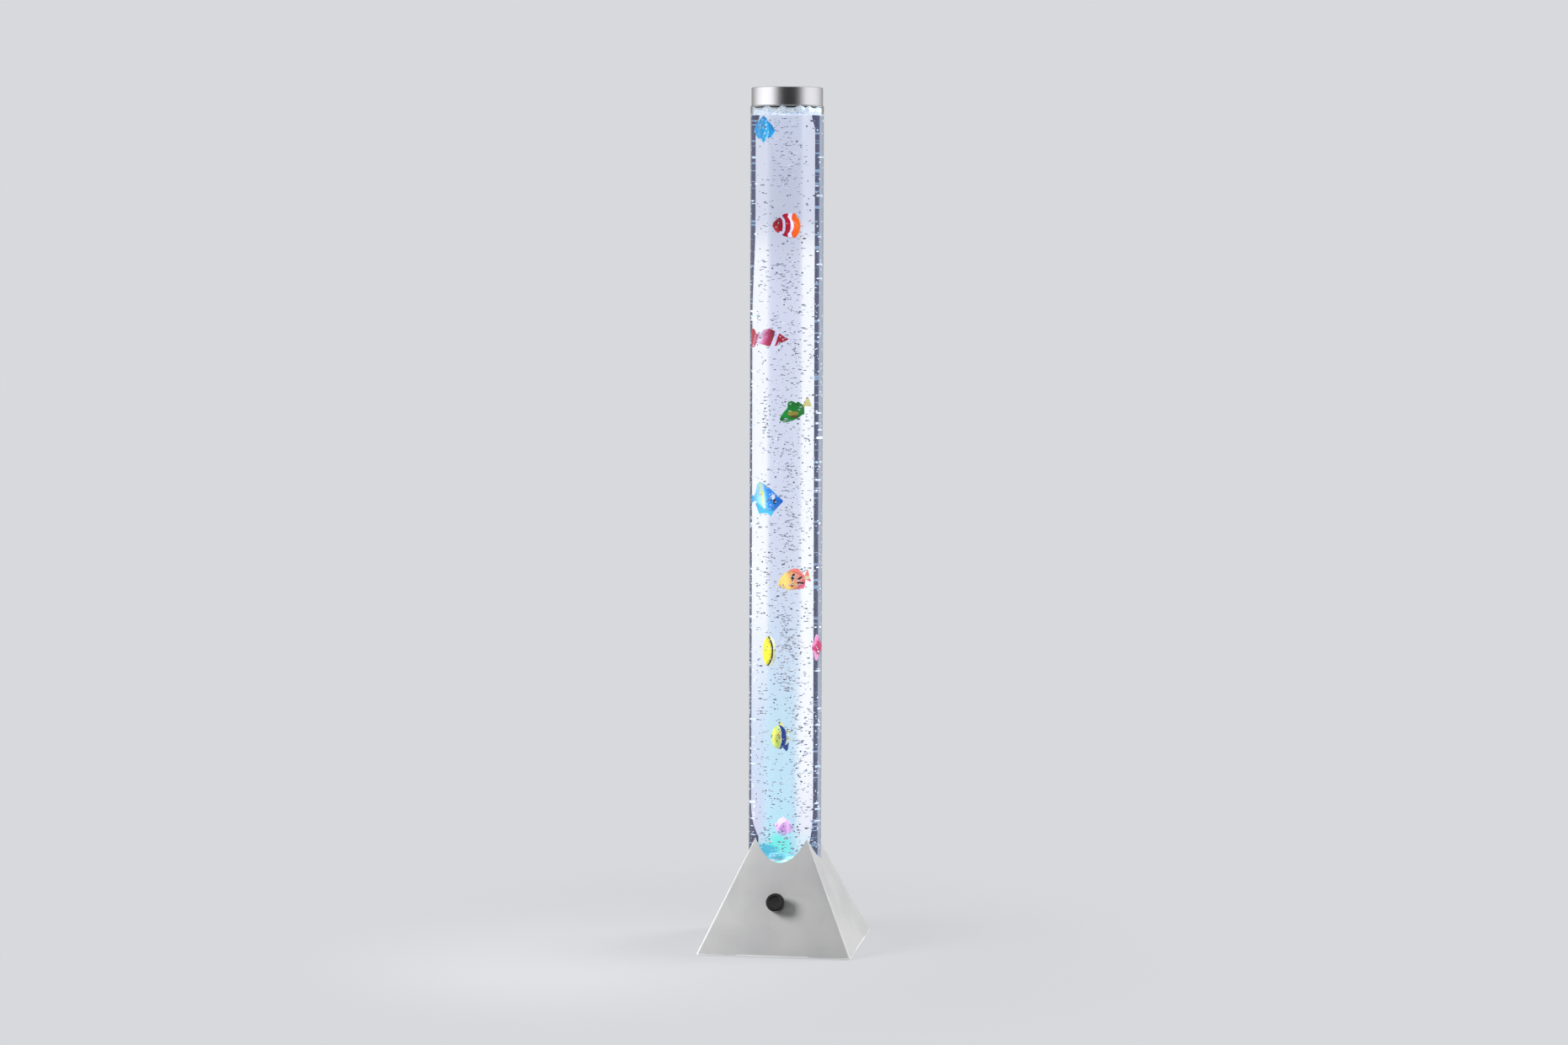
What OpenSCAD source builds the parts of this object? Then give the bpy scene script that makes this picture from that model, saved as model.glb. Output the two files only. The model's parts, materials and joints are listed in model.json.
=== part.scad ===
// Bubble tube floor lamp: a clear tube of water on a pyramid base, with fish, a lid and a pump.
// Millimetres. The origin is on the ground under the tube's axis, +Z is up, the knob faces -Y.

/* [Lamp] */
// Height from the ground to the top of the cap
lamp_h = 1180; // [900:10:1500]
// Width of the square base at its lower edge
base_w = 212; // [200:1:240]
// Height above the lower edge at which the base's four faces would meet
peak_h = 228; // [216:1:250]
// Thickness of the base's sheet metal
sheet_t = 1.5; // [1:0.1:2.5]
// Thickness of the plate that closes the base from below
plate_t = 3; // [3:0.5:5]
// Height of the rubber feet
foot_h = 2; // [1:0.5:4]
// Diameter of the rubber feet
foot_d = 18; // [10:1:24]

/* [Tube] */
// Outer diameter of the clear tube
tube_d = 100; // [94:1:104]
// Wall of the clear tube
tube_wall = 3; // [2:0.5:4]
// Thickness of the clear floor that closes the tube
floor_t = 6; // [4:0.5:8]
// Depth of the floor's top below the lowest point of the base's cut edge
floor_drop = 1.4; // [1:0.1:4]
// Depth of the tube in its socket
grip_h = 12; // [8:1:18]
// Free height of air between the water and the tube's upper rim
air_h = 11.5; // [9:0.5:20]

/* [Cap] */
// Distance by which the cap's side stands in from the tube's
cap_inset = 1.2; // [0:0.1:1.5]
// Height of the cap
cap_h = 25; // [15:1:40]
// Wall of the cap
cap_wall = 1.5; // [1:0.1:2]
// Depth of the cap's plug in the tube
plug_h = 5; // [4:0.5:6]

/* [Knob] */
// Diameter of the knob
knob_d = 26; // [22:0.5:34]
// Height of the knob above the face that it stands on
knob_h = 17; // [15:0.5:24]
// Distance of the knob's axis below the underside of the tube's socket, on the front face
knob_drop = 25; // [20:1:40]
// Diameter of the control's shaft
shaft_d = 6; // [5:0.5:7]

/* [Fish] */
// Length to which the fish are drawn
fish_l = 44; // [36:1:46]
// Angle by which the places of the fish are turned about the tube's axis
fish_turn = 8.5; // [0:0.5:45]

/* [Pump] */
// Length of the pump's case
pump_l = 45; // [42:1:54]
// Width of the pump's case
pump_w = 44; // [40:1:52]
// Height of the pump's case with its lid
pump_h = 32; // [28:1:38]
// Place of the air nozzle to the left of the tube's axis
nozzle_off = 7; // [0:0.5:9]
// Outer diameter of the air hose
hose_d = 6; // [5:0.5:7]
// Radius of the air hose's bend, at its middle
bend_r = 10; // [8:0.5:12]

/* [Board] */
// Length of the control board
board_l = 56; // [50:1:64]
// Width of the control board
board_w = 44; // [40:1:50]
// Height of the socket for the supply plug above the base's lower edge
jack_up = 30; // [26:1:40]

/* [Hidden] */
$fn = 96;

// Clearances and the overrun of cuts
fit_gap = 0.1;
run_gap = 0.3;
pin_gap = 0.05;
cut = 1;

// Base: slopes and heights
half_w = base_w / 2;
lean = atan(half_w / peak_h);
rim_z = foot_h;
plate_top = rim_z + plate_t;
sheet_run = sheet_t / cos(lean);
shell_gap = 0.5;
function outer_half(z) = half_w - (z - rim_z) * half_w / peak_h;
function inner_half(z) = outer_half(z) - sheet_run;
function height_at(half) = rim_z + peak_h * (1 - half / half_w);

// Tube: radii and heights
tube_r = tube_d / 2;
bore_r = tube_r - tube_wall;
socket_wall = 3.5;
socket_r = tube_r + fit_gap + socket_wall;
socket_top = height_at(socket_r + sheet_run + shell_gap);
seat_z = socket_top - grip_h;
floor_z = height_at(tube_r + shell_gap) - floor_drop;
tube_top = lamp_h - cap_h;
water_z = tube_top - air_h;

// Screws
m3_r = 1.5;
m4_r = 2;
screw_head_share = 1.8;
screw_head_h = 1.8;
boss_bite = 8;

// Socket and its posts
ledge_t = 6;
ledge_reach = 12;
ledge_in = tube_r - ledge_reach;
post_off = 14;
post_ring = tube_r + post_off;
post_r = 4;
ear_r = 8;
post_top = seat_z - ledge_t;

// Light ring
led_board_t = 1.6;
led_board_in = 16;
led_board_out = bore_r - fit_gap - shell_gap;
led_ring = 30;
led_size = 5;
led_h = 1.6;
led_count = 12;
led_screw_ring = (ledge_in + led_board_out) / 2;
led_screw_count = 3;

// Air nozzle, stone, hose and check valve
nozzle_r = 4;
nozzle_flange_r = 8;
nozzle_flange_h = 2;
nozzle_nut_w = 12;
nozzle_nut_h = 3;
seal_t = 1;
hose_wall = 1;
hose_bore = hose_d / 2 - hose_wall;
barb_r = hose_bore - fit_gap;
barb_bore = 1;
barb_l = 8;
stone_r = 9;
stone_h = 7;
thread_spare = 2;
nozzle_low = floor_z - floor_t - seal_t - nozzle_nut_h - thread_spare;
valve_r = 7;
valve_l = 20;

// Pump: case, arm, bellows and valve block
case_wall = 2;
mount_h = 3;
mount_r = 4;
mount_inset = 7;
pump_x1 = -nozzle_off - bend_r - barb_l;
pump_x0 = pump_x1 - pump_l;
pump_z0 = plate_top + mount_h;
pump_in = pump_z0 + case_wall;
pump_top = pump_z0 + pump_h;
lid_t = 2;
case_top = pump_top - lid_t;
boss_r = 3;
boss_inset = boss_r + case_wall - fit_gap;
block_l = 15;
block_w = 20;
block_h = 10;
outlet_z = pump_in + block_h / 2;
arm_t = 2;
arm_w = 10;
arm_room = 2.5;
barrel_r = 2.2;
arm_axis_z = case_top - arm_room - barrel_r;
arm_z = arm_axis_z - arm_t / 2;
bellows_r = 7;
bellows_wall = 1.4;
bellows_folds = 4;
bellows_x = pump_x1 - case_wall - fit_gap - block_l / 2;
block_top = pump_in + block_h;
bellows_h = arm_z - run_gap - block_top;
bellows_fold = bellows_h / bellows_folds / 2 - fit_gap;
pin_r = 1;
pin_inset = 3;
pin_x = pump_x0 + case_wall + pin_inset;
bracket_l = 4.6;
ear_t = 2;
coil_t = 3.5;
coil_side = 5;
coil_gap = 1;
coil_x0 = pin_x + bracket_l / 2 + coil_gap;
coil_x1 = bellows_x - block_l / 2 - coil_gap;
core_x = (coil_x0 + coil_x1) / 2;
core_l = coil_x1 - coil_x0 - 2 * coil_t;
core_w = 30;
yoke_h = 5;
leg_w = 5;
mid_leg_w = 8;
magnet_in = 1;
magnet_l = core_l - 2 * magnet_in;
magnet_h = 4;
magnet_gap = 1.8;
core_h = arm_z - magnet_h - magnet_gap - pump_in;

// Heights of the hoses and of the check valve, which hangs midway between pump and nozzle
hose_z = outlet_z + bend_r;
lower_run = (nozzle_low - hose_z - valve_l) / 2 - run_gap;
valve_z = hose_z + lower_run + run_gap;

// Control board
board_t = 1.6;
board_x0 = 12;
standoff_h = 6;
standoff_r = 3;
standoff_inset = 4;
board_z = plate_top + standoff_h;
board_top = board_z + board_t;
plug_l = 8;
plug_w = 6;
plug_high = 7;
cap_can_r = 5;
can_gap = 2;
cap_can_h = 14;
chip_l = 12;
chip_h = 2.2;
coil_can = 11;
coil_can_h = 9;
coil_can_y = 12;
led_plug_x = 34;
side_plug_y = board_w / 2 - plug_w;

// Knob and control
knob_z = post_top - knob_drop;
knob_lift = 0.8;
knob_r = knob_d / 2;
knob_foot_share = 0.86;
knob_foot_r = knob_r * knob_foot_share;
knob_round = 1.6;
dish_share = 0.6;
dish_r = knob_r * dish_share;
dish_h = 1.4;
recess_r = 7.5;
recess_h = 6;
shaft_r = shaft_d / 2;
bush_wall = 1;
bush_r = shaft_r + bush_wall;
bush_h = 4.6;
control_r = 8.5;
control_h = 10;
shaft_low = 7;
shaft_high = 12;
nut_w = 11;
nut_h = 2.2;
lug_l = 5;
lug_w = 1.2;
lug_step = 5;

// Supply socket in the back face
jack_z = rim_z + jack_up;
jack_r = 5.5;
jack_l = 14;
jack_flange_r = 7;
jack_flange_h = 1.5;
jack_bore = 2.75;
jack_deep = 10;
jack_pin_r = 1;
jack_nut_w = 15;
jack_nut_h = 2.5;
jack_tail_r = 3;

// Leads
lead_r = 1;
lead_step = 2.4;
elbow_share = 1.1;

// Brackets between the shell and the plate, and the screws of the plate
bracket_w = 24;
bracket_deep = 14;
bracket_high = 12;
bracket_screw_in = 8;

// Fish: for each one the place across and deep, as shares of the bore's radius, the lane's lower and
// upper end, as shares of the water's height, the resting place in the lane, as a share of the free
// travel, the length, height and thickness, as shares of fish_l, and the heading and tilt in degrees
fish_shares = [
    [-0.53, -0.09, 0.905, 1.000, 1.00, 0.91, 0.86, 0.30, 250, 0],
    [-0.03, 0.00, 0.805, 0.900, 0.49, 0.95, 0.76, 0.32, 225, 0],
    [-0.41, 0.00, 0.652, 0.756, 0.46, 0.98, 0.66, 0.30, 0, 0],
    [0.19, 0.00, 0.554, 0.648, 0.60, 0.84, 0.62, 0.30, 180, 16],
    [-0.45, 0.00, 0.430, 0.545, 0.49, 0.82, 1.10, 0.30, 0, 0],
    [0.18, 0.00, 0.330, 0.426, 0.52, 0.78, 0.70, 0.32, 180, 12],
    [-0.37, 0.00, 0.230, 0.325, 0.61, 0.86, 1.00, 0.34, 270, 0],
    [0.70, 0.00, 0.230, 0.325, 0.67, 0.77, 0.84, 0.25, 90, 0],
    [-0.10, 0.00, 0.108, 0.226, 0.50, 0.86, 0.97, 0.36, 245, 0],
    [-0.02, 0.00, 0.016, 0.104, 0.24, 0.77, 0.69, 0.32, 250, 0]];
// Shares of a fish: its body's length and height, its tail's root, notch and flat fins' thickness
body_len_share = 0.76;
body_high_share = 0.86;
tail_root_share = 0.2;
tail_notch_share = 0.42;
tail_high_share = 0.5;
tail_neck_share = 0.12;
fin_front_share = 0.22;
fin_back_share = 0.3;
fin_low_share = 0.3;
lens_over_share = 1.12;
fin_t = 2;
lane_wall = 2;
lane_gap = 0.5;

water_h = water_z - floor_z;
function f_len(k) = fish_shares[k][5] * fish_l;
function f_high(k) = fish_shares[k][6] * fish_l;
function f_thick(k) = fish_shares[k][7] * fish_l;
function f_tilt(k) = fish_shares[k][9];
function f_box_l(k) = f_len(k) * cos(f_tilt(k)) + f_high(k) * sin(f_tilt(k));
function f_box_h(k) = f_high(k) * cos(f_tilt(k)) + f_len(k) * sin(f_tilt(k));
function lane_low(k) = floor_z + fish_shares[k][2] * water_h + lane_wall / 2;
function lane_top(k) = floor_z + fish_shares[k][3] * water_h - lane_wall / 2;
function lane_free(k) = lane_top(k) - lane_low(k) - f_box_h(k) - 2 * lane_gap;
function fish_z(k) = lane_low(k) + lane_gap + f_box_h(k) / 2 + fish_shares[k][4] * lane_free(k);

// A round ring standing on its own lower face
module ring(h, r_out, r_in) {
    difference() {
        cylinder(h = h, r = r_out);
        translate([0, 0, -cut])
            cylinder(h = h + 2 * cut, r = r_in);
    }
}

// A cylinder from one point to another
module bar(from, to, r) {
    way = to - from;
    run = norm(way);
    translate(from)
        rotate([0, acos(way[2] / run), atan2(way[1], way[0])])
            cylinder(h = run, r = r, $fn = 24);
}

// A lead along a list of points, with a bead of glue at each bend
module lead(points, r) {
    for (i = [0 : len(points) - 2])
        bar(points[i], points[i + 1], r);
    for (i = [1 : len(points) - 2])
        translate(points[i])
            sphere(r = r * elbow_share, $fn = 24);
}

// A hexagonal nut with a round hole
module hex_nut(h, w, hole_r) {
    difference() {
        cylinder(h = h, d = w / cos(30), $fn = 6);
        translate([0, 0, -cut])
            cylinder(h = h + 2 * cut, r = hole_r);
    }
}

// A screw whose head stands on its own origin, with the shank running down
module screw(r, shank) {
    cylinder(h = screw_head_h, r = r * screw_head_share, $fn = 32);
    translate([0, 0, -shank])
        cylinder(h = shank + screw_head_h / 2, r = r, $fn = 32);
}

module on_diagonals(far) {
    for (a = [45 : 90 : 315])
        rotate(a)
            translate([far, 0, 0])
                children();
}

module on_sides(far) {
    for (a = [0 : 90 : 270])
        rotate(a)
            translate([far, 0, 0])
                children();
}

module at_corners(x, y) {
    for (i = [-1, 1])
        for (j = [-1, 1])
            translate([i * x, j * y, 0])
                children();
}

// The solid four sided peak: two roof prisms crossed
module peak(half, rise) {
    intersection_for (a = [0, 90])
        rotate([90, 0, a])
            linear_extrude(2 * half, center = true)
                polygon([[-half, 0], [half, 0], [0, rise]]);
}

// Local frame of a point on the sloping front face, +Z out of the face
module on_front(z) {
    translate([0, -outer_half(z), z])
        rotate([90 - lean, 0, 0])
            children();
}

// A point in the control's upright middle plane: so far up the face and so far out of it
function front_point(up, out) = [0, up * sin(lean) - out * cos(lean) - outer_half(knob_z),
    knob_z + up * cos(lean) + out * sin(lean)];

// Local frame of a point on the sloping back face, +Z out of the face
module on_back(z) {
    translate([0, outer_half(z), z])
        rotate([lean - 90, 0, 0])
            children();
}

module tube() {
    color([0.86, 0.88, 0.95, 0.35])
        translate([0, 0, seat_z])
            ring(tube_top - seat_z, tube_r, bore_r);
}

module tube_floor() {
    color([0.8, 0.9, 0.95, 0.5])
        translate([0, 0, floor_z - floor_t])
            difference() {
                cylinder(h = floor_t, r = bore_r - fit_gap);
                translate([-nozzle_off, 0, -cut])
                    cylinder(h = floor_t + 2 * cut, r = nozzle_r + fit_gap);
            }
}

module air_nozzle() {
    color("whitesmoke")
        translate([-nozzle_off, 0, 0])
            difference() {
                union() {
                    translate([0, 0, floor_z])
                        cylinder(h = nozzle_flange_h, r = nozzle_flange_r);
                    translate([0, 0, nozzle_low])
                        cylinder(h = floor_z - nozzle_low + cut, r = nozzle_r);
                    translate([0, 0, nozzle_low - barb_l])
                        cylinder(h = barb_l + cut, r = barb_r, $fn = 32);
                }
                translate([0, 0, nozzle_low - barb_l - cut])
                    cylinder(h = floor_z - nozzle_low + barb_l + nozzle_flange_h + 2 * cut, r = barb_bore);
            }
}

module nozzle_seal() {
    color("dimgray")
        translate([-nozzle_off, 0, floor_z - floor_t - seal_t])
            ring(seal_t, nozzle_flange_r, nozzle_r + fit_gap);
}

module nozzle_nut() {
    color("whitesmoke")
        translate([-nozzle_off, 0, floor_z - floor_t - seal_t - nozzle_nut_h])
            hex_nut(nozzle_nut_h, nozzle_nut_w, nozzle_r + fit_gap);
}

module air_stone() {
    color("slategray")
        translate([-nozzle_off, 0, floor_z + nozzle_flange_h])
            difference() {
                cylinder(h = stone_h, r = stone_r);
                translate([0, 0, -cut])
                    cylinder(h = stone_h / 2 + cut, r = nozzle_r);
            }
}

// The space in which one fish floats up and down
module lane(k) {
    size = [f_box_l(k) + 2 * lane_gap, f_thick(k) + 2 * lane_gap, lane_top(k) - lane_low(k)];
    rotate(fish_turn)
        translate([fish_shares[k][0] * bore_r, fish_shares[k][1] * bore_r, lane_low(k)])
            rotate(fish_shares[k][8])
                translate([-size[0] / 2, -size[1] / 2, 0])
                    cube(size);
}

module water_column() {
    color([0.75, 0.85, 0.95, 0.4])
        difference() {
            translate([0, 0, floor_z])
                cylinder(h = water_h, r = bore_r - fit_gap);
            translate([-nozzle_off, 0, floor_z - cut])
                cylinder(h = nozzle_flange_h + stone_h + fit_gap + cut, r = stone_r + fit_gap);
            for (k = [0 : len(fish_shares) - 1])
                lane(k);
        }
}

// A body between two arcs, seen from the side and from above alike
module fish_body(size) {
    long = max(size[0], size[2]);
    short = min(size[0], size[2]);
    side_r = (pow(long, 2) + pow(short, 2)) / (4 * short);
    lens_r = (pow(long * lens_over_share, 2) + pow(size[1], 2)) / (4 * size[1]);
    intersection() {
        rotate([0, size[0] >= size[2] ? 0 : 90, 0])
            intersection_for (s = [-1, 1])
                translate([0, 0, s * (side_r - short / 2)])
                    rotate([90, 0, 0])
                        cylinder(h = 2 * size[1], r = side_r, center = true);
        intersection_for (s = [-1, 1])
            translate([0, s * (lens_r - size[1] / 2), 0])
                sphere(r = lens_r);
    }
}

// A fish at the origin, its nose along +X: a lens for a body, flat fins and a flat tail
module fish_shape(l, h, t) {
    fins = [[fin_front_share * l, 0], [-fin_back_share * l / 3, h / 2],
        [-fin_back_share * l, fin_low_share * h], [-fin_back_share * l * 2 / 3, 0],
        [-fin_back_share * l, -fin_low_share * h], [-fin_back_share * l / 3, -h / 2]];
    tail = [[-tail_root_share * l, tail_neck_share * h], [-l / 2, tail_high_share * h / 2],
        [-tail_notch_share * l, 0], [-l / 2, -tail_high_share * h / 2],
        [-tail_root_share * l, -tail_neck_share * h]];
    translate([l / 2 - body_len_share * l / 2, 0, 0])
        fish_body([body_len_share * l, t, body_high_share * h]);
    rotate([90, 0, 0])
        linear_extrude(fin_t, center = true) {
            polygon(fins);
            polygon(tail);
        }
}

module fish(k) {
    rotate(fish_turn)
        translate([fish_shares[k][0] * bore_r, fish_shares[k][1] * bore_r, fish_z(k)])
            rotate([0, f_tilt(k), fish_shares[k][8]])
                fish_shape(f_len(k), f_high(k), f_thick(k));
}

module fish_sky() {
    color("deepskyblue")
        fish(0);
}

module fish_ember() {
    color("orangered")
        fish(1);
}

module fish_coral() {
    color("crimson")
        fish(2);
}

module fish_leaf() {
    color("seagreen")
        fish(3);
}

module fish_azure() {
    color("dodgerblue")
        fish(4);
}

module fish_amber() {
    color("sandybrown")
        fish(5);
}

module fish_lemon() {
    color("gold")
        fish(6);
}

module fish_rose() {
    color("deeppink")
        fish(7);
}

module fish_night() {
    color("royalblue")
        fish(8);
}

module fish_lilac() {
    color("plum")
        fish(9);
}

// The cap is a turned cup, open below, with a rounded upper edge
module top_cap() {
    r = tube_r - cap_inset;
    edge = cap_wall;
    color("silver")
        translate([0, 0, tube_top])
            rotate_extrude()
                difference() {
                    union() {
                        square([r, cap_h - edge]);
                        square([r - edge, cap_h]);
                        translate([r - edge, cap_h - edge])
                            circle(r = edge, $fn = 32);
                    }
                    translate([0, -cut])
                        square([r - cap_wall, cap_h - cap_wall + cut]);
                    translate([-r, -cut])
                        square([r, cap_h + 2 * cut]);
                }
}

plug_r = bore_r - 4 * fit_gap;
plug_wall = 2;
plug_shoulder_r = tube_r - cap_inset - cap_wall - fit_gap;
plug_shoulder_h = 12;
seal_r = 1;
groove_h = 2 * seal_r + fit_gap;
groove_low = plug_h / 2 - groove_h / 2;

module cap_plug() {
    color("gainsboro")
        translate([0, 0, tube_top])
            difference() {
                union() {
                    translate([0, 0, -plug_h])
                        cylinder(h = plug_h + run_gap + cut, r = plug_r);
                    translate([0, 0, run_gap])
                        cylinder(h = plug_shoulder_h, r = plug_shoulder_r);
                }
                translate([0, 0, -plug_h + plug_wall])
                    cylinder(h = plug_h + plug_shoulder_h, r = plug_r - 2 * seal_r - plug_wall);
                translate([0, 0, -plug_h + groove_low])
                    ring(groove_h, plug_r + cut, plug_r - 2 * seal_r + fit_gap);
            }
}

module cap_seal() {
    color("dimgray")
        translate([0, 0, tube_top - plug_h + groove_low + groove_h / 2])
            rotate_extrude()
                translate([plug_r - seal_r + 2 * fit_gap, 0])
                    circle(r = seal_r - fit_gap / 2, $fn = 32);
}

// The socket grips the tube's lower end and stands on four posts
module tube_socket() {
    color([0.15, 0.15, 0.16])
        difference() {
            union() {
                translate([0, 0, post_top])
                    cylinder(h = ledge_t + grip_h, r = socket_r);
                translate([0, 0, post_top])
                    on_diagonals(post_ring) {
                        cylinder(h = ledge_t, r = ear_r);
                        translate([-ear_r - post_r, -ear_r, 0])
                            cube([ear_r + post_r, 2 * ear_r, ledge_t]);
                    }
            }
            translate([0, 0, post_top - cut])
                cylinder(h = ledge_t + 2 * cut, r = ledge_in);
            translate([0, 0, seat_z])
                cylinder(h = grip_h + cut, r = tube_r + fit_gap);
            translate([0, 0, post_top - cut])
                on_diagonals(post_ring)
                    cylinder(h = ledge_t + 2 * cut, r = m4_r + fit_gap);
            translate([0, 0, post_top - cut])
                led_screw_places()
                    cylinder(h = ledge_t + 2 * cut, r = m3_r + fit_gap / 2);
        }
}

module socket_posts() {
    color("silver")
        translate([0, 0, plate_top])
            on_diagonals(post_ring)
                ring(post_top - plate_top, post_r, m4_r + fit_gap / 2);
}

module socket_screws() {
    color("gray")
        translate([0, 0, seat_z])
            on_diagonals(post_ring)
                screw(m4_r, ledge_t + boss_bite);
}

// A screw from below, its head sunk in the base plate
module plate_screw(r, reach) {
    translate([0, 0, rim_z + screw_head_h])
        mirror([0, 0, 1])
            screw(r, plate_t - screw_head_h + reach);
}

module plate_screw_hole(r) {
    translate([0, 0, rim_z - cut])
        cylinder(h = plate_t + 2 * cut, r = r + fit_gap);
    translate([0, 0, rim_z - cut])
        cylinder(h = screw_head_h + cut, r = r * screw_head_share + fit_gap);
}

module post_screws() {
    color("gray")
        on_diagonals(post_ring)
            plate_screw(m4_r, boss_bite);
}

module led_screw_places() {
    for (k = [0 : led_screw_count - 1])
        rotate(360 / led_screw_count * k + 60)
            translate([led_screw_ring, 0, 0])
                children();
}

module led_board() {
    color("seagreen")
        translate([0, 0, seat_z])
            difference() {
                ring(led_board_t, led_board_out, led_board_in);
                translate([0, 0, -cut])
                    led_screw_places()
                        cylinder(h = led_board_t + 2 * cut, r = m3_r + fit_gap);
            }
}

module leds() {
    color("lightyellow")
        for (k = [0 : led_count - 1])
            rotate(360 / led_count * (k + 1 / 2))
                translate([led_ring - led_size / 2, -led_size / 2, seat_z + led_board_t])
                    cube([led_size, led_size, led_h]);
}

module led_screws() {
    color("gray")
        translate([0, 0, seat_z + led_board_t])
            led_screw_places()
                screw(m3_r, led_board_t + ledge_t);
}

// The shell is the peak hollowed, cut by the tube and drilled for the knob and the supply socket
module base_shell() {
    color("silver")
        difference() {
            translate([0, 0, rim_z])
                peak(half_w, peak_h);
            translate([0, 0, rim_z - cut])
                peak(half_w - sheet_run + cut * half_w / peak_h,
                    (half_w - sheet_run) * peak_h / half_w + cut);
            translate([0, 0, rim_z])
                cylinder(h = peak_h + cut, r = tube_r + shell_gap);
            on_front(knob_z)
                cylinder(h = 4 * sheet_t, r = bush_r + fit_gap, center = true);
            on_back(jack_z)
                cylinder(h = 4 * sheet_t, r = jack_r + fit_gap, center = true);
        }
}

module shell_brackets() {
    color("gray")
        difference() {
            intersection() {
                translate([0, 0, rim_z])
                    peak(half_w - sheet_run - fit_gap, (half_w - sheet_run - fit_gap) * peak_h / half_w);
                on_sides(inner_half(plate_top) - bracket_deep)
                    translate([0, -bracket_w / 2, plate_top])
                        cube([2 * bracket_deep, bracket_w, bracket_high]);
            }
            on_sides(inner_half(plate_top) - bracket_screw_in)
                translate([0, 0, plate_top - cut])
                    cylinder(h = boss_bite + cut, r = m3_r + fit_gap / 2);
        }
}

module bracket_screws() {
    color("gray")
        on_sides(inner_half(plate_top) - bracket_screw_in)
            plate_screw(m3_r, boss_bite - run_gap);
}

module base_plate() {
    half = inner_half(plate_top) - fit_gap;
    color("darkgray")
        difference() {
            translate([-half, -half, rim_z])
                cube([2 * half, 2 * half, plate_t]);
            on_diagonals(post_ring)
                plate_screw_hole(m4_r);
            on_sides(inner_half(plate_top) - bracket_screw_in)
                plate_screw_hole(m3_r);
        }
}

module feet() {
    far = inner_half(plate_top) - foot_d;
    color([0.1, 0.1, 0.1])
        at_corners(far, far)
            cylinder(h = foot_h, d = foot_d);
}

module case_corners() {
    translate([(pump_x0 + pump_x1) / 2, 0, 0])
        at_corners(pump_l / 2 - boss_inset, pump_w / 2 - boss_inset)
            children();
}

module pump_case() {
    color([0.2, 0.2, 0.22])
        difference() {
            union() {
                difference() {
                    translate([pump_x0, -pump_w / 2, pump_z0])
                        cube([pump_l, pump_w, case_top - pump_z0]);
                    translate([pump_x0 + case_wall, case_wall - pump_w / 2, pump_in])
                        cube([pump_l - 2 * case_wall, pump_w - 2 * case_wall, pump_h]);
                }
                case_corners()
                    translate([0, 0, pump_z0])
                        cylinder(h = case_top - pump_z0, r = boss_r, $fn = 32);
            }
            case_corners()
                translate([0, 0, case_top - boss_bite])
                    cylinder(h = boss_bite + cut, r = m3_r + fit_gap / 2, $fn = 32);
            translate([pump_x1 - case_wall - cut, 0, outlet_z])
                rotate([0, 90, 0])
                    cylinder(h = case_wall + 2 * cut, r = barb_r + fit_gap, $fn = 32);
            translate([pump_x1 - case_wall - cut, pump_lead_y, pump_lead_z])
                rotate([0, 90, 0])
                    cylinder(h = case_wall + 2 * cut, r = lead_r + fit_gap, $fn = 32);
        }
}

pump_lead_y = pump_w / 4;
pump_lead_z = case_top - 3 * lead_r;

module pump_lid() {
    color([0.2, 0.2, 0.22])
        difference() {
            translate([pump_x0, -pump_w / 2, case_top])
                cube([pump_l, pump_w, lid_t]);
            case_corners()
                translate([0, 0, case_top - cut])
                    cylinder(h = lid_t + 2 * cut, r = m3_r + fit_gap, $fn = 32);
        }
}

module pump_screws() {
    color("gray")
        case_corners()
            translate([0, 0, pump_top])
                screw(m3_r, lid_t + boss_bite - run_gap);
}

module pump_mounts() {
    color([0.1, 0.1, 0.1])
        translate([(pump_x0 + pump_x1) / 2, 0, plate_top])
            at_corners(pump_l / 2 - mount_inset, pump_w / 2 - mount_inset)
                cylinder(h = mount_h, r = mount_r, $fn = 32);
}

// Laminated core: a yoke with three legs that point up at the magnet
module pump_core() {
    color("dimgray")
        translate([core_x - core_l / 2, 0, pump_in]) {
            translate([0, -core_w / 2, 0])
                cube([core_l, core_w, yoke_h]);
            for (y = [-core_w / 2, -mid_leg_w / 2, core_w / 2 - leg_w])
                translate([0, y, 0])
                    cube([core_l, y == -mid_leg_w / 2 ? mid_leg_w : leg_w, core_h]);
        }
}

module pump_coil() {
    high = core_h - yoke_h - 2 * run_gap;
    color("peru")
        translate([core_x, 0, pump_in + yoke_h])
            difference() {
                translate([-core_l / 2 - coil_t, -mid_leg_w / 2 - coil_side, 0])
                    cube([core_l + 2 * coil_t, mid_leg_w + 2 * coil_side, high]);
                translate([-core_l / 2 - fit_gap, -mid_leg_w / 2 - fit_gap, -cut])
                    cube([core_l + 2 * fit_gap, mid_leg_w + 2 * fit_gap, high + 2 * cut]);
            }
}

// Two ears on a foot hold the pin of the arm
module arm_bracket() {
    wide = arm_w + 2 * run_gap + 2 * ear_t;
    color("silver")
        translate([pin_x, 0, 0])
            difference() {
                translate([-bracket_l / 2, -wide / 2, pump_in])
                    cube([bracket_l, wide, arm_axis_z + barrel_r - pump_in]);
                translate([-bracket_l / 2 - cut, -arm_w / 2 - run_gap, arm_axis_z - barrel_r - 2 * run_gap])
                    cube([bracket_l + 2 * cut, arm_w + 2 * run_gap, 2 * barrel_r + 4 * run_gap]);
                translate([0, wide / 2 + cut, arm_axis_z])
                    rotate([90, 0, 0])
                        cylinder(h = wide + 2 * cut, r = pin_r + pin_gap, $fn = 32);
            }
}

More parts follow.
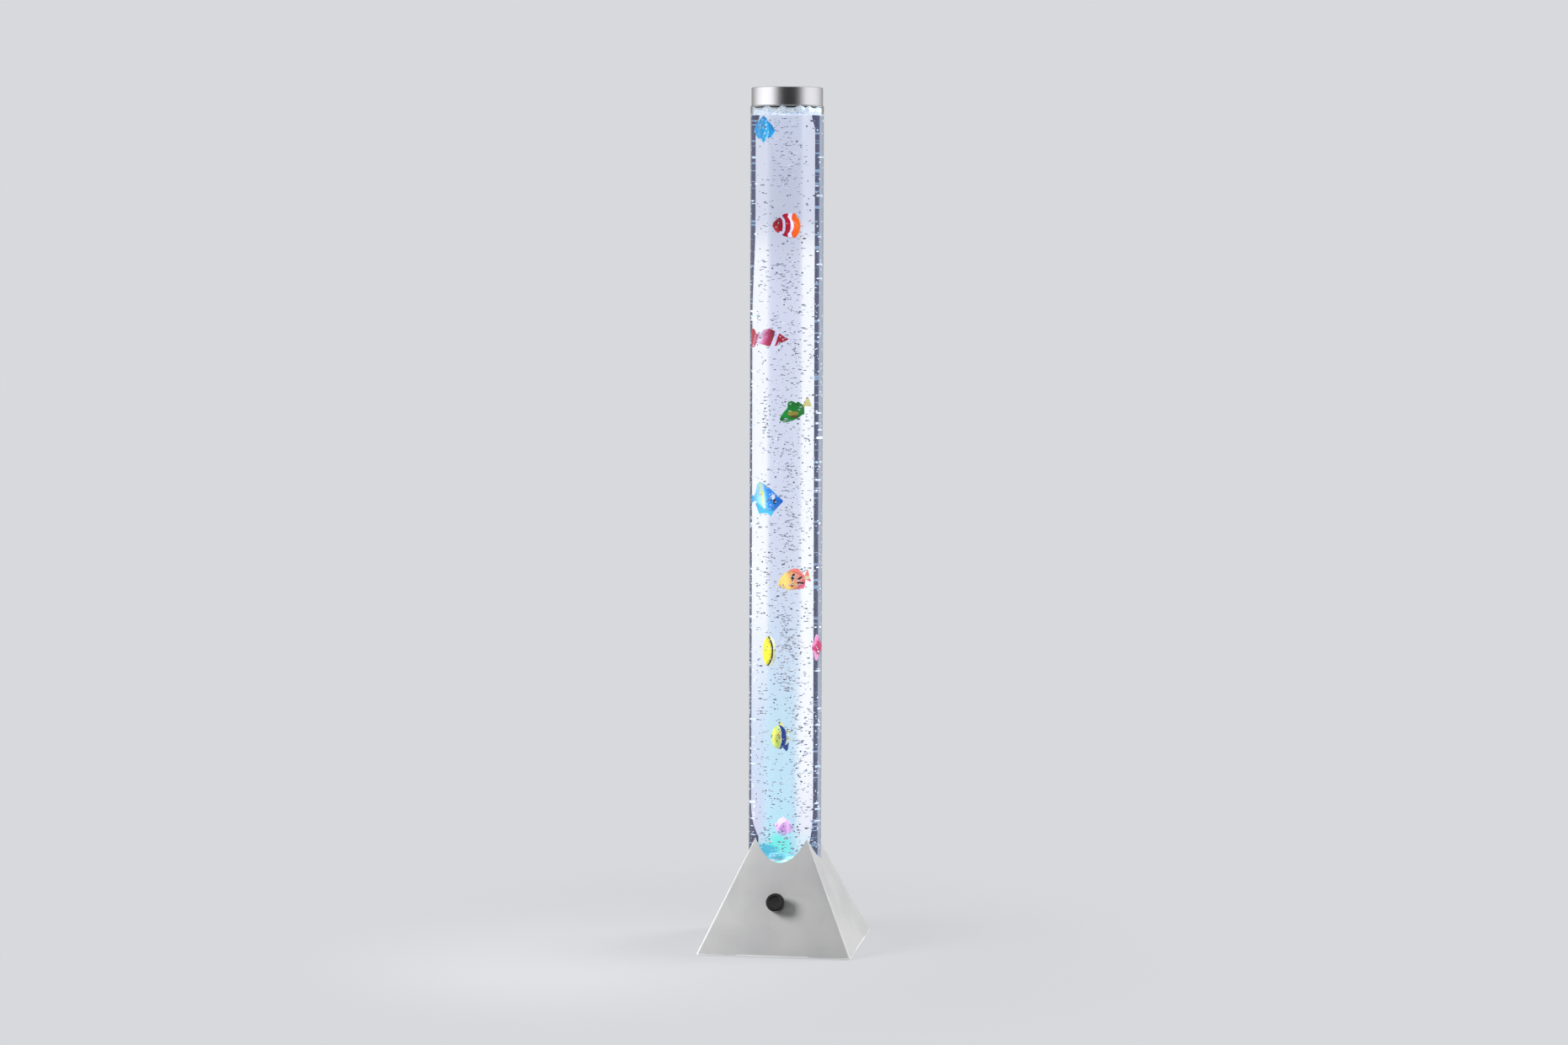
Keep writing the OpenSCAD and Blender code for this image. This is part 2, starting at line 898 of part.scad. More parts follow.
module arm_pin() {
    wide = arm_w + 2 * run_gap + 2 * ear_t;
    color("gray")
        translate([pin_x, wide / 2, arm_axis_z])
            rotate([90, 0, 0])
                cylinder(h = wide, r = pin_r, $fn = 32);
}

module pump_arm() {
    color("silver")
        difference() {
            union() {
                translate([pin_x, -arm_w / 2, arm_z])
                    cube([bellows_x + bellows_r - pin_x, arm_w, arm_t]);
                translate([pin_x, arm_w / 2, arm_axis_z])
                    rotate([90, 0, 0])
                        cylinder(h = arm_w, r = barrel_r, $fn = 32);
            }
            translate([pin_x, arm_w / 2 + cut, arm_axis_z])
                rotate([90, 0, 0])
                    cylinder(h = arm_w + 2 * cut, r = pin_r + pin_gap, $fn = 32);
        }
}

module arm_magnet() {
    color("dimgray")
        translate([core_x - magnet_l / 2, -arm_w / 2, arm_z - magnet_h])
            cube([magnet_l, arm_w, magnet_h]);
}

// The bellows stand on the valve block, in rounded folds
module pump_bellows() {
    fold = bellows_h / bellows_folds;
    color([0.1, 0.1, 0.1])
        translate([bellows_x, 0, block_top])
            difference() {
                union() {
                    cylinder(h = bellows_h, r = bellows_r - 2 * bellows_fold);
                    for (k = [0 : bellows_folds - 1])
                        translate([0, 0, fold * (k + 1 / 2)])
                            rotate_extrude()
                                translate([bellows_r - bellows_fold, 0])
                                    circle(r = bellows_fold, $fn = 24);
                    for (k = [0 : bellows_folds - 1])
                        translate([0, 0, fold * k + fold / 4])
                            cylinder(h = fold / 2, r = bellows_r - bellows_fold);
                }
                translate([0, 0, -cut])
                    cylinder(h = bellows_h - bellows_fold + cut,
                        r = bellows_r - 2 * bellows_fold - bellows_wall);
            }
}

module valve_block() {
    color("whitesmoke")
        difference() {
            union() {
                translate([bellows_x - block_l / 2, -block_w / 2, pump_in])
                    cube([block_l, block_w, block_h]);
                translate([bellows_x, 0, outlet_z])
                    rotate([0, 90, 0])
                        cylinder(h = pump_x1 + barb_l - bellows_x, r = barb_r, $fn = 32);
            }
            translate([bellows_x, 0, outlet_z])
                rotate([0, 90, 0])
                    cylinder(h = pump_x1 + barb_l - bellows_x + cut, r = barb_bore, $fn = 32);
            translate([bellows_x, 0, outlet_z])
                cylinder(h = block_h, r = barb_bore, $fn = 32);
        }
}

// The lower hose leaves the pump level, turns up in one bend and ends on the check valve
module lower_hose() {
    color([0.85, 0.9, 0.9, 0.6])
        translate([-nozzle_off, 0, outlet_z]) {
            translate([-bend_r, 0, 0])
                rotate([0, -90, 0])
                    ring(barb_l - run_gap, hose_d / 2, hose_bore);
            translate([-bend_r, 0, bend_r])
                rotate([90, 0, 0])
                    rotate(-90)
                        rotate_extrude(angle = 90)
                            translate([bend_r, 0])
                                difference() {
                                    circle(r = hose_d / 2, $fn = 32);
                                    circle(r = hose_bore, $fn = 32);
                                }
            translate([0, 0, bend_r])
                ring(lower_run, hose_d / 2, hose_bore);
        }
}

module check_valve() {
    color([0.9, 0.9, 0.85])
        translate([-nozzle_off, 0, valve_z])
            difference() {
                union() {
                    cylinder(h = valve_l, r = valve_r);
                    translate([0, 0, -barb_l])
                        cylinder(h = valve_l + 2 * barb_l, r = barb_r, $fn = 32);
                }
                translate([0, 0, -barb_l - cut])
                    cylinder(h = valve_l + 2 * barb_l + 2 * cut, r = barb_bore, $fn = 32);
            }
}

module upper_hose() {
    low = valve_z + valve_l + run_gap;
    color([0.85, 0.9, 0.9, 0.6])
        translate([-nozzle_off, 0, low])
            ring(nozzle_low - run_gap - low, hose_d / 2, hose_bore);
}

module board_corners() {
    translate([board_x0 + board_l / 2, 0, 0])
        at_corners(board_l / 2 - standoff_inset, board_w / 2 - standoff_inset)
            children();
}

module control_board() {
    color("darkgreen")
        difference() {
            translate([board_x0, -board_w / 2, board_z])
                cube([board_l, board_w, board_t]);
            board_corners()
                translate([0, 0, board_z - cut])
                    cylinder(h = board_t + 2 * cut, r = m3_r + fit_gap, $fn = 32);
        }
}

led_plug_y = 0;
pump_plug_x = board_x0 + standoff_inset + 2 * standoff_r;
side_plug_x = board_x0 + board_l / 2;

// Plugs for the leads, two cans, a coil and a chip on the board
module board_parts() {
    color([0.12, 0.12, 0.13])
        translate([0, 0, board_top]) {
            translate([led_plug_x, led_plug_y, plug_high / 2])
                cube([plug_l, plug_w, plug_high], center = true);
            translate([pump_plug_x, pump_lead_y, plug_high / 2])
                cube([plug_w, plug_l, plug_high], center = true);
            for (s = [-1, 1])
                translate([side_plug_x, s * side_plug_y, plug_high / 2])
                    cube([plug_l, plug_w, plug_high], center = true);
            for (s = [-1, 1])
                translate([led_plug_x + plug_l / 2 + can_gap + cap_can_r, s * (cap_can_r + can_gap / 2), 0])
                    cylinder(h = cap_can_h, r = cap_can_r, $fn = 32);
            translate([side_plug_x - plug_l / 2 - can_gap - coil_can, -coil_can_y - coil_can / 2, 0])
                cube([coil_can, coil_can, coil_can_h]);
            translate([board_x0 + board_l - standoff_inset - chip_l, -side_plug_y - standoff_inset, 0])
                cube([chip_l / 2, chip_l / 2, chip_h]);
        }
}

module board_standoffs() {
    color("silver")
        translate([0, 0, plate_top])
            board_corners()
                ring(standoff_h, standoff_r, m3_r + fit_gap / 2);
}

module board_screws() {
    color("gray")
        translate([0, 0, board_top])
            board_corners()
                screw(m3_r, board_t + standoff_h - run_gap);
}

// The rotary control is clamped in the front face by its threaded bush
module dimmer_body() {
    color("dimgray")
        on_front(knob_z)
            difference() {
                union() {
                    translate([0, 0, -sheet_t - control_h])
                        cylinder(h = control_h, r = control_r);
                    translate([0, 0, -sheet_t - cut])
                        cylinder(h = sheet_t + bush_h + cut, r = bush_r);
                    for (s = [-1, 0, 1])
                        translate([s * lug_step - lug_w / 2, -control_r - lug_l, -sheet_t - control_h / 2])
                            cube([lug_w, lug_l + control_r / 2, lug_w]);
                }
                translate([0, 0, -sheet_t - shaft_low - pin_gap])
                    cylinder(h = sheet_t + shaft_low + bush_h + cut, r = shaft_r + pin_gap);
            }
}

module dimmer_nut() {
    color("silver")
        on_front(knob_z)
            hex_nut(nut_h, nut_w, bush_r + fit_gap / 2);
}

module dimmer_shaft() {
    color("gray")
        on_front(knob_z)
            translate([0, 0, -sheet_t - shaft_low])
                cylinder(h = sheet_t + shaft_low + shaft_high, r = shaft_r);
}

// The knob: a grip that widens to the front, with a rounded edge and a dished face
module knob() {
    color([0.05, 0.05, 0.05])
        on_front(knob_z)
            difference() {
                rotate_extrude()
                    difference() {
                        union() {
                            polygon([[0, knob_lift], [knob_foot_r, knob_lift], [knob_r, knob_h - knob_round],
                                [knob_r - knob_round, knob_h], [0, knob_h]]);
                            translate([knob_r - knob_round, knob_h - knob_round])
                                circle(r = knob_round, $fn = 32);
                        }
                        translate([0, knob_h - dish_h])
                            polygon([[0, 0], [dish_r - dish_h, 0], [dish_r, dish_h],
                                [dish_r, 2 * dish_h], [0, 2 * dish_h]]);
                    }
                translate([0, 0, knob_lift - cut])
                    cylinder(h = recess_h + cut, r = recess_r);
                cylinder(h = shaft_high + fit_gap, r = shaft_r + pin_gap);
            }
}

// The supply socket: a barrel with a pin, its flange outside and its nut inside the back face
module dc_jack() {
    color([0.08, 0.08, 0.08])
        on_back(jack_z) {
            difference() {
                union() {
                    cylinder(h = jack_flange_h, r = jack_flange_r);
                    translate([0, 0, -jack_l])
                        cylinder(h = jack_l + cut, r = jack_r);
                    translate([0, 0, -jack_l - jack_tail_r])
                        cylinder(h = jack_tail_r + cut, r = jack_tail_r);
                }
                translate([0, 0, jack_flange_h - jack_deep])
                    cylinder(h = jack_deep + cut, r = jack_bore);
            }
            translate([0, 0, jack_flange_h - jack_deep - cut])
                cylinder(h = jack_deep, r = jack_pin_r, $fn = 32);
        }
}

module jack_nut() {
    color("silver")
        on_back(jack_z)
            translate([0, 0, -sheet_t - jack_nut_h])
                hex_nut(jack_nut_h, jack_nut_w, jack_r + fit_gap / 2);
}

// Two straight leads from the light ring down to their plug
module led_lead() {
    color("crimson")
        for (s = [-1, 1])
            translate([led_plug_x, led_plug_y + s * lead_step / 2, board_top + plug_high])
                cylinder(h = seat_z - board_top - plug_high, r = lead_r, $fn = 24);
}

module pump_lead() {
    inner = [pump_x1 - 2 * case_wall, pump_lead_y, pump_lead_z];
    bend = [pump_plug_x, pump_lead_y, pump_lead_z];
    color("khaki")
        lead([inner, bend, [pump_plug_x, pump_lead_y, board_top + plug_high]], lead_r);
}

// Leads from the rotary control and from the supply socket to their plugs
module control_leads() {
    plug_top = board_top + plug_high;
    high = plug_top + 4 * lead_r;
    lug = front_point(-control_r - lug_l, lug_w / 2 - sheet_t - control_h / 2) - [0, 0, lug_w];
    tail = jack_l + jack_tail_r;
    root = [0, outer_half(jack_z) - tail * cos(lean), jack_z - tail * sin(lean)];
    out = [0, root[1] - 3 * lead_r, root[2] - 3 * lead_r * tan(lean)];
    color("darkred") {
        lead([lug, [0, lug[1], high], [side_plug_x, -side_plug_y, high],
            [side_plug_x, -side_plug_y, plug_top]], lead_r);
        lead([root, out, [side_plug_x, side_plug_y, high], [side_plug_x, side_plug_y, plug_top]], lead_r);
    }
}

tube();
tube_floor();
air_nozzle();
nozzle_seal();
nozzle_nut();
air_stone();
water_column();
fish_sky();
fish_ember();
fish_coral();
fish_leaf();
fish_azure();
fish_amber();
fish_lemon();
fish_rose();
fish_night();
fish_lilac();
top_cap();
cap_plug();
cap_seal();
tube_socket();
socket_posts();
socket_screws();
post_screws();
led_board();
leds();
led_screws();
base_shell();
shell_brackets();
bracket_screws();
base_plate();
feet();
pump_case();
pump_lid();
pump_screws();
pump_mounts();
pump_core();
pump_coil();
arm_bracket();
arm_pin();
pump_arm();
arm_magnet();
pump_bellows();
valve_block();
lower_hose();
check_valve();
upper_hose();
control_board();
board_parts();
board_standoffs();
board_screws();
dimmer_body();
dimmer_nut();
dimmer_shaft();
knob();
dc_jack();
jack_nut();
led_lead();
pump_lead();
control_leads();
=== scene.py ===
"""The looks of a bubble tube floor lamp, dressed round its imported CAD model.

All lengths are metres in the model's own frame: the floor is z = 0, the tube's axis is the Z axis, and the
knob is on the face towards -Y. A colour is a display colour such as "#f0f2f4", or its three linear values.
"""

from __future__ import annotations

import json
import logging
import math
from dataclasses import dataclass, field
from enum import Enum

import bmesh
import bpy
import numpy as np
from mathutils import Matrix, Vector


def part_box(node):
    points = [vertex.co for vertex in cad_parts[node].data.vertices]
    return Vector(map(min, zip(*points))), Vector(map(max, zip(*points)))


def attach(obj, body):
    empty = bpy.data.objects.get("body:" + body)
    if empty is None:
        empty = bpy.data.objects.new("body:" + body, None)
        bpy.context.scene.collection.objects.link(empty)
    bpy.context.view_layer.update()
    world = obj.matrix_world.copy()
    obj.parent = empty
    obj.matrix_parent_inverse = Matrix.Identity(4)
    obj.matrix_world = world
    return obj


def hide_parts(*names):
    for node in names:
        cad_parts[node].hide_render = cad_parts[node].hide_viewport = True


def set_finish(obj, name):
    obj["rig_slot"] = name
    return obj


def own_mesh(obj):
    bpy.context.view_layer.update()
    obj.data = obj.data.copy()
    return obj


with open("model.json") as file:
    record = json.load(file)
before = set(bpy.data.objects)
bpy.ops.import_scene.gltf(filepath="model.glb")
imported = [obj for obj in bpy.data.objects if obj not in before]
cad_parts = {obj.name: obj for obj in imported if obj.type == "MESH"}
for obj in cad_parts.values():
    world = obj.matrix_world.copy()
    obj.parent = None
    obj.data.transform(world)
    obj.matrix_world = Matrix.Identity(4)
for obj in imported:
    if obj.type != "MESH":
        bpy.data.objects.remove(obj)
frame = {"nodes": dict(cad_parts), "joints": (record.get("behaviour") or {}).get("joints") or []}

LOG = logging.getLogger("bubble_lamp")
MM = 0.001
Triple = tuple[float, float, float]
Colour = str | Triple
Pairs = tuple[tuple[float, float], ...]
Stops = tuple[tuple[float, Colour], ...]


# Meshes


@dataclass
class Surface:
    """The points and faces of a mesh in the making, and the named values of its points."""

    points: np.ndarray
    quads: np.ndarray
    tris: np.ndarray = field(default_factory=lambda: np.zeros((0, 3), int))
    values: dict[str, np.ndarray] = field(default_factory=dict)

    def turned(self, matrix: np.ndarray, move: np.ndarray) -> Surface:
        """Gives the surface with each point multiplied by the matrix and then moved."""
        return Surface(self.points @ matrix.T + move, self.quads, self.tris, self.values)

    def flipped(self) -> Surface:
        """Gives the surface with its faces turned round."""
        return Surface(self.points, self.quads[:, ::-1], self.tris[:, ::-1], self.values)


def joined(parts: list[Surface]) -> Surface:
    """Puts several surfaces into one.

    Args:
        parts: The surfaces, each with the same named values.

    Returns:
        One surface with all their points and faces.
    """
    starts = np.cumsum([0] + [len(p.points) for p in parts[:-1]])
    return Surface(
        np.concatenate([p.points for p in parts]),
        np.concatenate([p.quads + s for p, s in zip(parts, starts)]),
        np.concatenate([p.tris + s for p, s in zip(parts, starts)]),
        {n: np.concatenate([p.values[n] for p in parts]) for n in parts[0].values},
    )


def full_turn(count: int) -> np.ndarray:
    """Gives the angles of that many equal steps round a circle."""
    return np.arange(count) * 2 * np.pi / count


def round_axis(r: np.ndarray, angle: np.ndarray, z: np.ndarray | float) -> np.ndarray:
    """Gives the points (r cos angle, r sin angle, z)."""
    return np.stack(np.broadcast_arrays(r * np.cos(angle), r * np.sin(angle), z), axis=-1)


def sheet_of(points: np.ndarray, wrap: bool = False, values: dict[str, np.ndarray] | None = None) -> Surface:
    """Makes the faces of a grid of points: each face joins a point, the next in its row and the two above.

    Args:
        points: The points, as rows by columns by three, where each row closes on itself.
        wrap: Whether the last row joins the first.
        values: Named values of the points, each a number or an array that fits rows by columns.

    Returns:
        The surface, whose faces look along (step in a row) x (step between rows).
    """
    rows, columns = points.shape[:2]
    low = np.arange(rows * columns).reshape(rows, columns)
    high = np.roll(low, -1, axis=0)
    if not wrap:
        low, high = low[:-1], high[:-1]
    quads = np.stack([low, np.roll(low, -1, axis=1), np.roll(high, -1, axis=1), high], axis=-1)
    kept = {n: np.broadcast_to(v, (rows, columns)).ravel() for n, v in (values or {}).items()}
    return Surface(points.reshape(-1, 3), quads.reshape(-1, 4), values=kept)


def closed_sheet(points: np.ndarray, low: float, high: float) -> Surface:
    """Makes the faces of a grid of points, and closes both ends with a fan round a point on the axis.

    Args:
        points: The points, as rows by columns by three.
        low: The height of the point that closes the first row.
        high: The height of the point that closes the last row.

    Returns:
        The closed surface.
    """
    rows, columns = points.shape[:2]
    skin = sheet_of(points)
    first, pole = np.arange(columns), np.full(columns, rows * columns)
    last = first + (rows - 1) * columns
    fans = [np.stack([pole, np.roll(first, -1), first], axis=1),
            np.stack([last, np.roll(last, -1), pole + 1], axis=1)]
    poles = [[0, 0, low], [0, 0, high]]
    return Surface(np.concatenate([skin.points, poles]), skin.quads, np.concatenate(fans))


def turned_profile(profile: np.ndarray, segments: int, wrap: bool = False) -> Surface:
    """Turns a profile round the Z axis: a point at radius r and height z goes to
    (r cos a, r sin a, z).

    Args:
        profile: The profile's points as (radius, height), with the solid on its left.
        segments: How many steps one turn has.
        wrap: Whether the profile's last point joins its first.

    Returns:
        The surface, with the length along the profile as the value "run".
    """
    step = np.linalg.norm(np.diff(profile, axis=0), axis=1)
    run = np.concatenate([[0], np.cumsum(step)])[:, None]
    return sheet_of(round_axis(profile[:, :1], full_turn(segments), profile[:, 1:]), wrap, {"run": run})


def rounded(corners: list[Triple] | tuple[Triple, ...], steps: int = 6) -> np.ndarray:
    """Rounds the corners of a profile: each becomes an arc that touches both of its sides.

    Args:
        corners: The corners as (radius, height, rounding), where a rounding of 0 stays sharp.
        steps: How many steps each arc has.

    Returns:
        The profile's points as (radius, height).
    """
    place = np.array([c[:2] for c in corners])
    out = []
    for i, (_, _, rounding) in enumerate(corners):
        if not rounding:
            out.append(place[i][None])
            continue
        before, after = place[i - 1] - place[i], place[i + 1] - place[i]
        before, after = before / np.linalg.norm(before), after / np.linalg.norm(after)
        half = math.acos(float(np.clip(before @ after, -1, 1))) / 2
        middle = (before + after) / np.linalg.norm(before + after)
        centre = place[i] + middle * rounding / math.sin(half)
        reach = rounding / math.tan(half)
        first, last = (place[i] + way * reach - centre for way in (before, after))
        t = np.linspace(0, 1, steps + 1)[:, None]
        swing = math.pi - 2 * half
        out.append(centre + (np.sin((1 - t) * swing) * first + np.sin(t * swing) * last) / math.sin(swing))
    return np.concatenate(out)


def stand(name: str, data: bpy.types.ID) -> bpy.types.Object:
    """Makes an object of a mesh, a camera or a lamp and puts it into the scene.

    Args:
        name: Its name.
        data: Its mesh, camera or lamp.

    Returns:
        The object.
    """
    made = bpy.data.objects.new(name, data)
    bpy.context.scene.collection.objects.link(made)
    return made


class Shade(Enum):
    """The angle up to which an edge between two faces is shaded smooth."""

    SMOOTH = 180.0
    EDGES = 35.0


def make(name: str, surface: Surface, body: str, slot: str, nodes: list[str], shade: Shade = Shade.EDGES,
         merge: bool = True) -> bpy.types.Object:
    """Makes an object of a surface, and hands it to the frame.

    Args:
        name: The piece's name.
        surface: Its points and faces.
        body: The CAD body that it moves with.
        slot: The record's slot that its finish comes from.
        nodes: The CAD nodes that it stands for.
        shade: How its faces are shaded.
        merge: Whether points in one place become one, which closes seams and poles.

    Returns:
        The object.
    """
    mesh = bpy.data.meshes.new(name)
    mesh.from_pydata(surface.points.tolist(), [], surface.quads.tolist() + surface.tris.tolist())
    for title, values in surface.values.items():
        mesh.attributes.new(title, "FLOAT", "POINT").data.foreach_set("value", values.astype(np.float32))
    if merge:
        work = bmesh.new()
        work.from_mesh(mesh)
        bmesh.ops.remove_doubles(work, verts=work.verts, dist=0.002 * MM)
        bmesh.ops.dissolve_degenerate(work, edges=work.edges, dist=0.0005 * MM)
        work.to_mesh(mesh)
        work.free()
    mesh.polygons.foreach_set("use_smooth", np.ones(len(mesh.polygons), bool))
    if shade is not Shade.SMOOTH:
        mesh.set_sharp_from_angle(angle=math.radians(shade.value))
    mesh.update()
    made = stand(name, mesh)
    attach(made, body)
    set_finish(made, slot)
    if nodes:
        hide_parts(*nodes)
    LOG.info("%s: %d points, %d faces", name, len(mesh.vertices), len(mesh.polygons))
    return made


# Materials


def tone(colour: Colour) -> Triple:
    """Gives the linear values of a colour, from 0 to 1.

    Args:
        colour: A display colour, or linear values, which stay as they are.

    Returns:
        The linear values.
    """
    if not isinstance(colour, str):
        return colour
    shown = np.array([int(colour[i:i + 2], 16) for i in (1, 3, 5)]) / 255.0
    linear = np.where(shown <= 0.04045, shown / 12.92, ((shown + 0.055) / 1.055) ** 2.4)
    return tuple(float(v) for v in linear)


class Value:
    """An output in a tree of nodes. Arithmetic on it adds Math nodes."""

    def __init__(self, wires: Wires, socket: bpy.types.NodeSocket) -> None:
        """Keeps the tree's wires and the output."""
        self.wires, self.socket = wires, socket

    def __add__(self, other: object) -> Value:
        """Adds a value or a number."""
        return self.wires.sum("ADD", self, other)

    def __sub__(self, other: object) -> Value:
        """Takes a value or a number away."""
        return self.wires.sum("SUBTRACT", self, other)

    def __mul__(self, other: object) -> Value:
        """Multiplies by a value or a number."""
        return self.wires.sum("MULTIPLY", self, other)

    def __truediv__(self, other: object) -> Value:
        """Divides by a value or a number."""
        return self.wires.sum("DIVIDE", self, other)

    def step(self, low: float, high: float, start: float = 0.0, end: float = 1.0) -> Value:
        """Gives a smooth step that goes from start to end as this value goes from low to high."""
        return self.wires.value("MapRange", {0: self, 1: low, 2: high, 3: start, 4: end},
                                interpolation_type="SMOOTHSTEP")


class Wires:
    """Adds nodes to a tree and joins them."""

    def __init__(self, tree: bpy.types.NodeTree) -> None:
        """Keeps the tree that the nodes go into."""
        self.tree = tree

    def put(self, socket: bpy.types.NodeSocket, value: object) -> None:
        """Joins an output to an input, or sets the input to a plain value or colour.

        Args:
            socket: The input.
            value: The output, value or colour.
        """
        if isinstance(value, Value):
            value = value.socket
        if isinstance(value, bpy.types.NodeSocket):
            self.tree.links.new(value, socket)
        else:
            socket.default_value = (*tone(value), 1.0) if socket.type == "RGBA" else value

    def node(self, kind: str, inputs: dict | None = None, **settings: object) -> bpy.types.Node:
        """Adds a node.

        Args:
            kind: The node's type without its leading ShaderNode.
            inputs: Values or outputs for its inputs, by name or number.
            settings: The node's own settings.

        Returns:
            The node.
        """
        made = self.tree.nodes.new(f"ShaderNode{kind}")
        for name, value in settings.items():
            setattr(made, name, value)
        for key, value in (inputs or {}).items():
            self.put(made.inputs[key], value)
        return made

    def value(self, kind: str, inputs: dict | None = None, output: int | str = 0,
              **settings: object) -> Value:
        """Adds a node and gives one of its outputs."""
        return Value(self, self.node(kind, inputs, **settings).outputs[output])

    def sum(self, operation: str, *terms: object, clamp: bool = False) -> Value:
        """Works out one step of arithmetic."""
        return self.value("Math", dict(enumerate(terms)), operation=operation, use_clamp=clamp)

    def vector(self, operation: str, *terms: object, output: str = "Vector") -> Value:
        """Works out one step of arithmetic on vectors."""
        return self.value("VectorMath", dict(enumerate(terms)), output, operation=operation)

    def axes(self, vector: Value) -> list[Value]:
        """Gives a vector's parts along X, Y and Z."""
        return [Value(self, part) for part in self.node("SeparateXYZ", {0: vector}).outputs]

    def mix(self, share: object, first: object, second: object, blend: str = "MIX") -> Value:
        """Mixes two colours, with share of the second."""
        return self.value("Mix", {0: share, 6: first, 7: second}, 2, data_type="RGBA", blend_type=blend)

    def ramp(self, value: Value, stops: Stops) -> Value:
        """Gives the colour that lies at a value between stops.

        Args:
            value: The place on the ramp.
            stops: The ramp's stops, as (value, colour).

        Returns:
            The colour.
        """
        made = self.node("ValToRGB", {0: value})
        line = made.color_ramp.elements
        while len(line) > 1:
            line.remove(line[-1])
        line[0].position = stops[0][0]
        line[0].color = (*tone(stops[0][1]), 1)
        for place, colour in stops[1:]:
            line.new(place).color = (*tone(colour), 1)
        return Value(self, made.outputs[0])

    def oval(self, u: Value, v: Value, outer: float, inner: float) -> Value:
        """Gives an oval's mask: 0 where u^2 + v^2 is past outer, and 1 where it is under inner."""
        return (u * u + v * v).step(outer, inner)

    def bump(self, strength: object, distance: float, height: Value) -> Value:
        """Gives the normal of a surface that a height raises."""
        return self.value("Bump", {"Strength": strength, "Distance": distance, "Height": height})

    def attribute(self, name: str) -> Value:
        """Gives the mesh's own value of that name."""
        return self.value("Attribute", output="Fac", attribute_name=name)

    def place(self) -> Value:
        """Gives the point's place on the object."""
        return self.value("TexCoord", output="Object")

    def effect(self, name: str, inputs: dict) -> dict[str, Value]:
        """Adds one of the shared effects with its own values.

        Args:
            name: The effect's name.
            inputs: Values or outputs for its inputs, by name.

        Returns:
            Its outputs by name.
        """
        made = self.tree.nodes.new("ShaderNodeGroup")
        made.node_tree = bpy.data.node_groups[name]
        for key, value in inputs.items():
            self.put(made.inputs[key], value)
        return {output.name: Value(self, output) for output in made.outputs}

    def finish(self, inputs: dict, clear: Colour | None = None) -> None:
        """Adds the Principled shader and the output.

        Args:
            inputs: Values or outputs for the shader's inputs, by name.
            clear: The tint of a clear solid, which is plain see-through for the rays that ask whether a lamp
                lights a point.
        """
        shader = self.node("BsdfPrincipled", inputs).outputs[0]
        if clear:
            shadow = self.value("LightPath", output="Is Shadow Ray")
            through = self.node("BsdfTransparent", {0: clear}).outputs[0]
            shader = self.node("MixShader", {0: shadow, 1: shader, 2: through}).outputs[0]
        self.node("OutputMaterial", {0: shader})


def group(name: str, inputs: list[tuple[str, str, object]],
          outputs: list[tuple[str, str]]) -> tuple[Wires, list[Value], bpy.types.Node]:
    """Makes an empty shader node group.

    Args:
        name: The group's name.
        inputs: Name, kind of socket and usual value of each input.
        outputs: Name and kind of socket of each output.

    Returns:
        The group's wires, its inputs as values, and its output node.
    """
    tree = bpy.data.node_groups.new(name, "ShaderNodeTree")
    for title, kind, value in inputs:
        socket = tree.interface.new_socket(title, in_out="INPUT", socket_type=f"NodeSocket{kind}")
        socket.default_value = value
    for title, kind in outputs:
        tree.interface.new_socket(title, in_out="OUTPUT", socket_type=f"NodeSocket{kind}")
    w = Wires(tree)
    given = tree.nodes.new("NodeGroupInput").outputs
    return w, [Value(w, given[title]) for title, _, _ in inputs], tree.nodes.new("NodeGroupOutput")


def make_effects() -> None:
    """Makes the effects that several finishes share.

    cloud shifts a colour between two tones by noise. grain gives a normal and a mask of fine lines or pits,
    stretched by a scale for each axis.
    """
    w, (dark, light, scale), out = group(
        "cloud", [("Dark", "Color", (0, 0, 0, 1)), ("Light", "Color", (1, 1, 1, 1)),
                  ("Scale", "Float", 20.0)],
        [("Color", "Color")])
    noise = w.value("TexNoise", {"Vector": w.place(), "Scale": scale, "Detail": 4.0})
    w.put(out.inputs[0], w.mix(noise.step(0.3, 0.7), dark, light))

    w, (vector, stretch, depth), out = group(
        "grain", [("Vector", "Vector", (0, 0, 0)), ("Stretch", "Vector", (1, 1, 1)), ("Depth", "Float", 0.1)],
        [("Normal", "Vector"), ("Mask", "Float")])
    noise = w.value("TexNoise", {"Vector": w.vector("MULTIPLY", vector, stretch), "Scale": 1.0,
                                 "Detail": 2.0})
    w.put(out.inputs[0], w.bump(depth, 0.2 * MM, noise))
    w.put(out.inputs[1], noise)


def new_material(name: str) -> tuple[bpy.types.Material, Wires]:
    """Makes a material without nodes.

    Args:
        name: Its name.

    Returns:
        The material and its wires.
    """
    made = bpy.data.materials.new(name)
    made.use_nodes = True
    made.node_tree.nodes.clear()
    return made, Wires(made.node_tree)


def clear_inputs(tint: object, index: float, mirror: float) -> dict:
    """Gives the shader's inputs for a smooth clear solid, whose mirroring is dimmed to a share."""
    return {"Base Color": tint, "Roughness": 0.0, "IOR": index, "Specular Tint": (mirror, mirror, mirror),
            "Transmission Weight": 1.0}


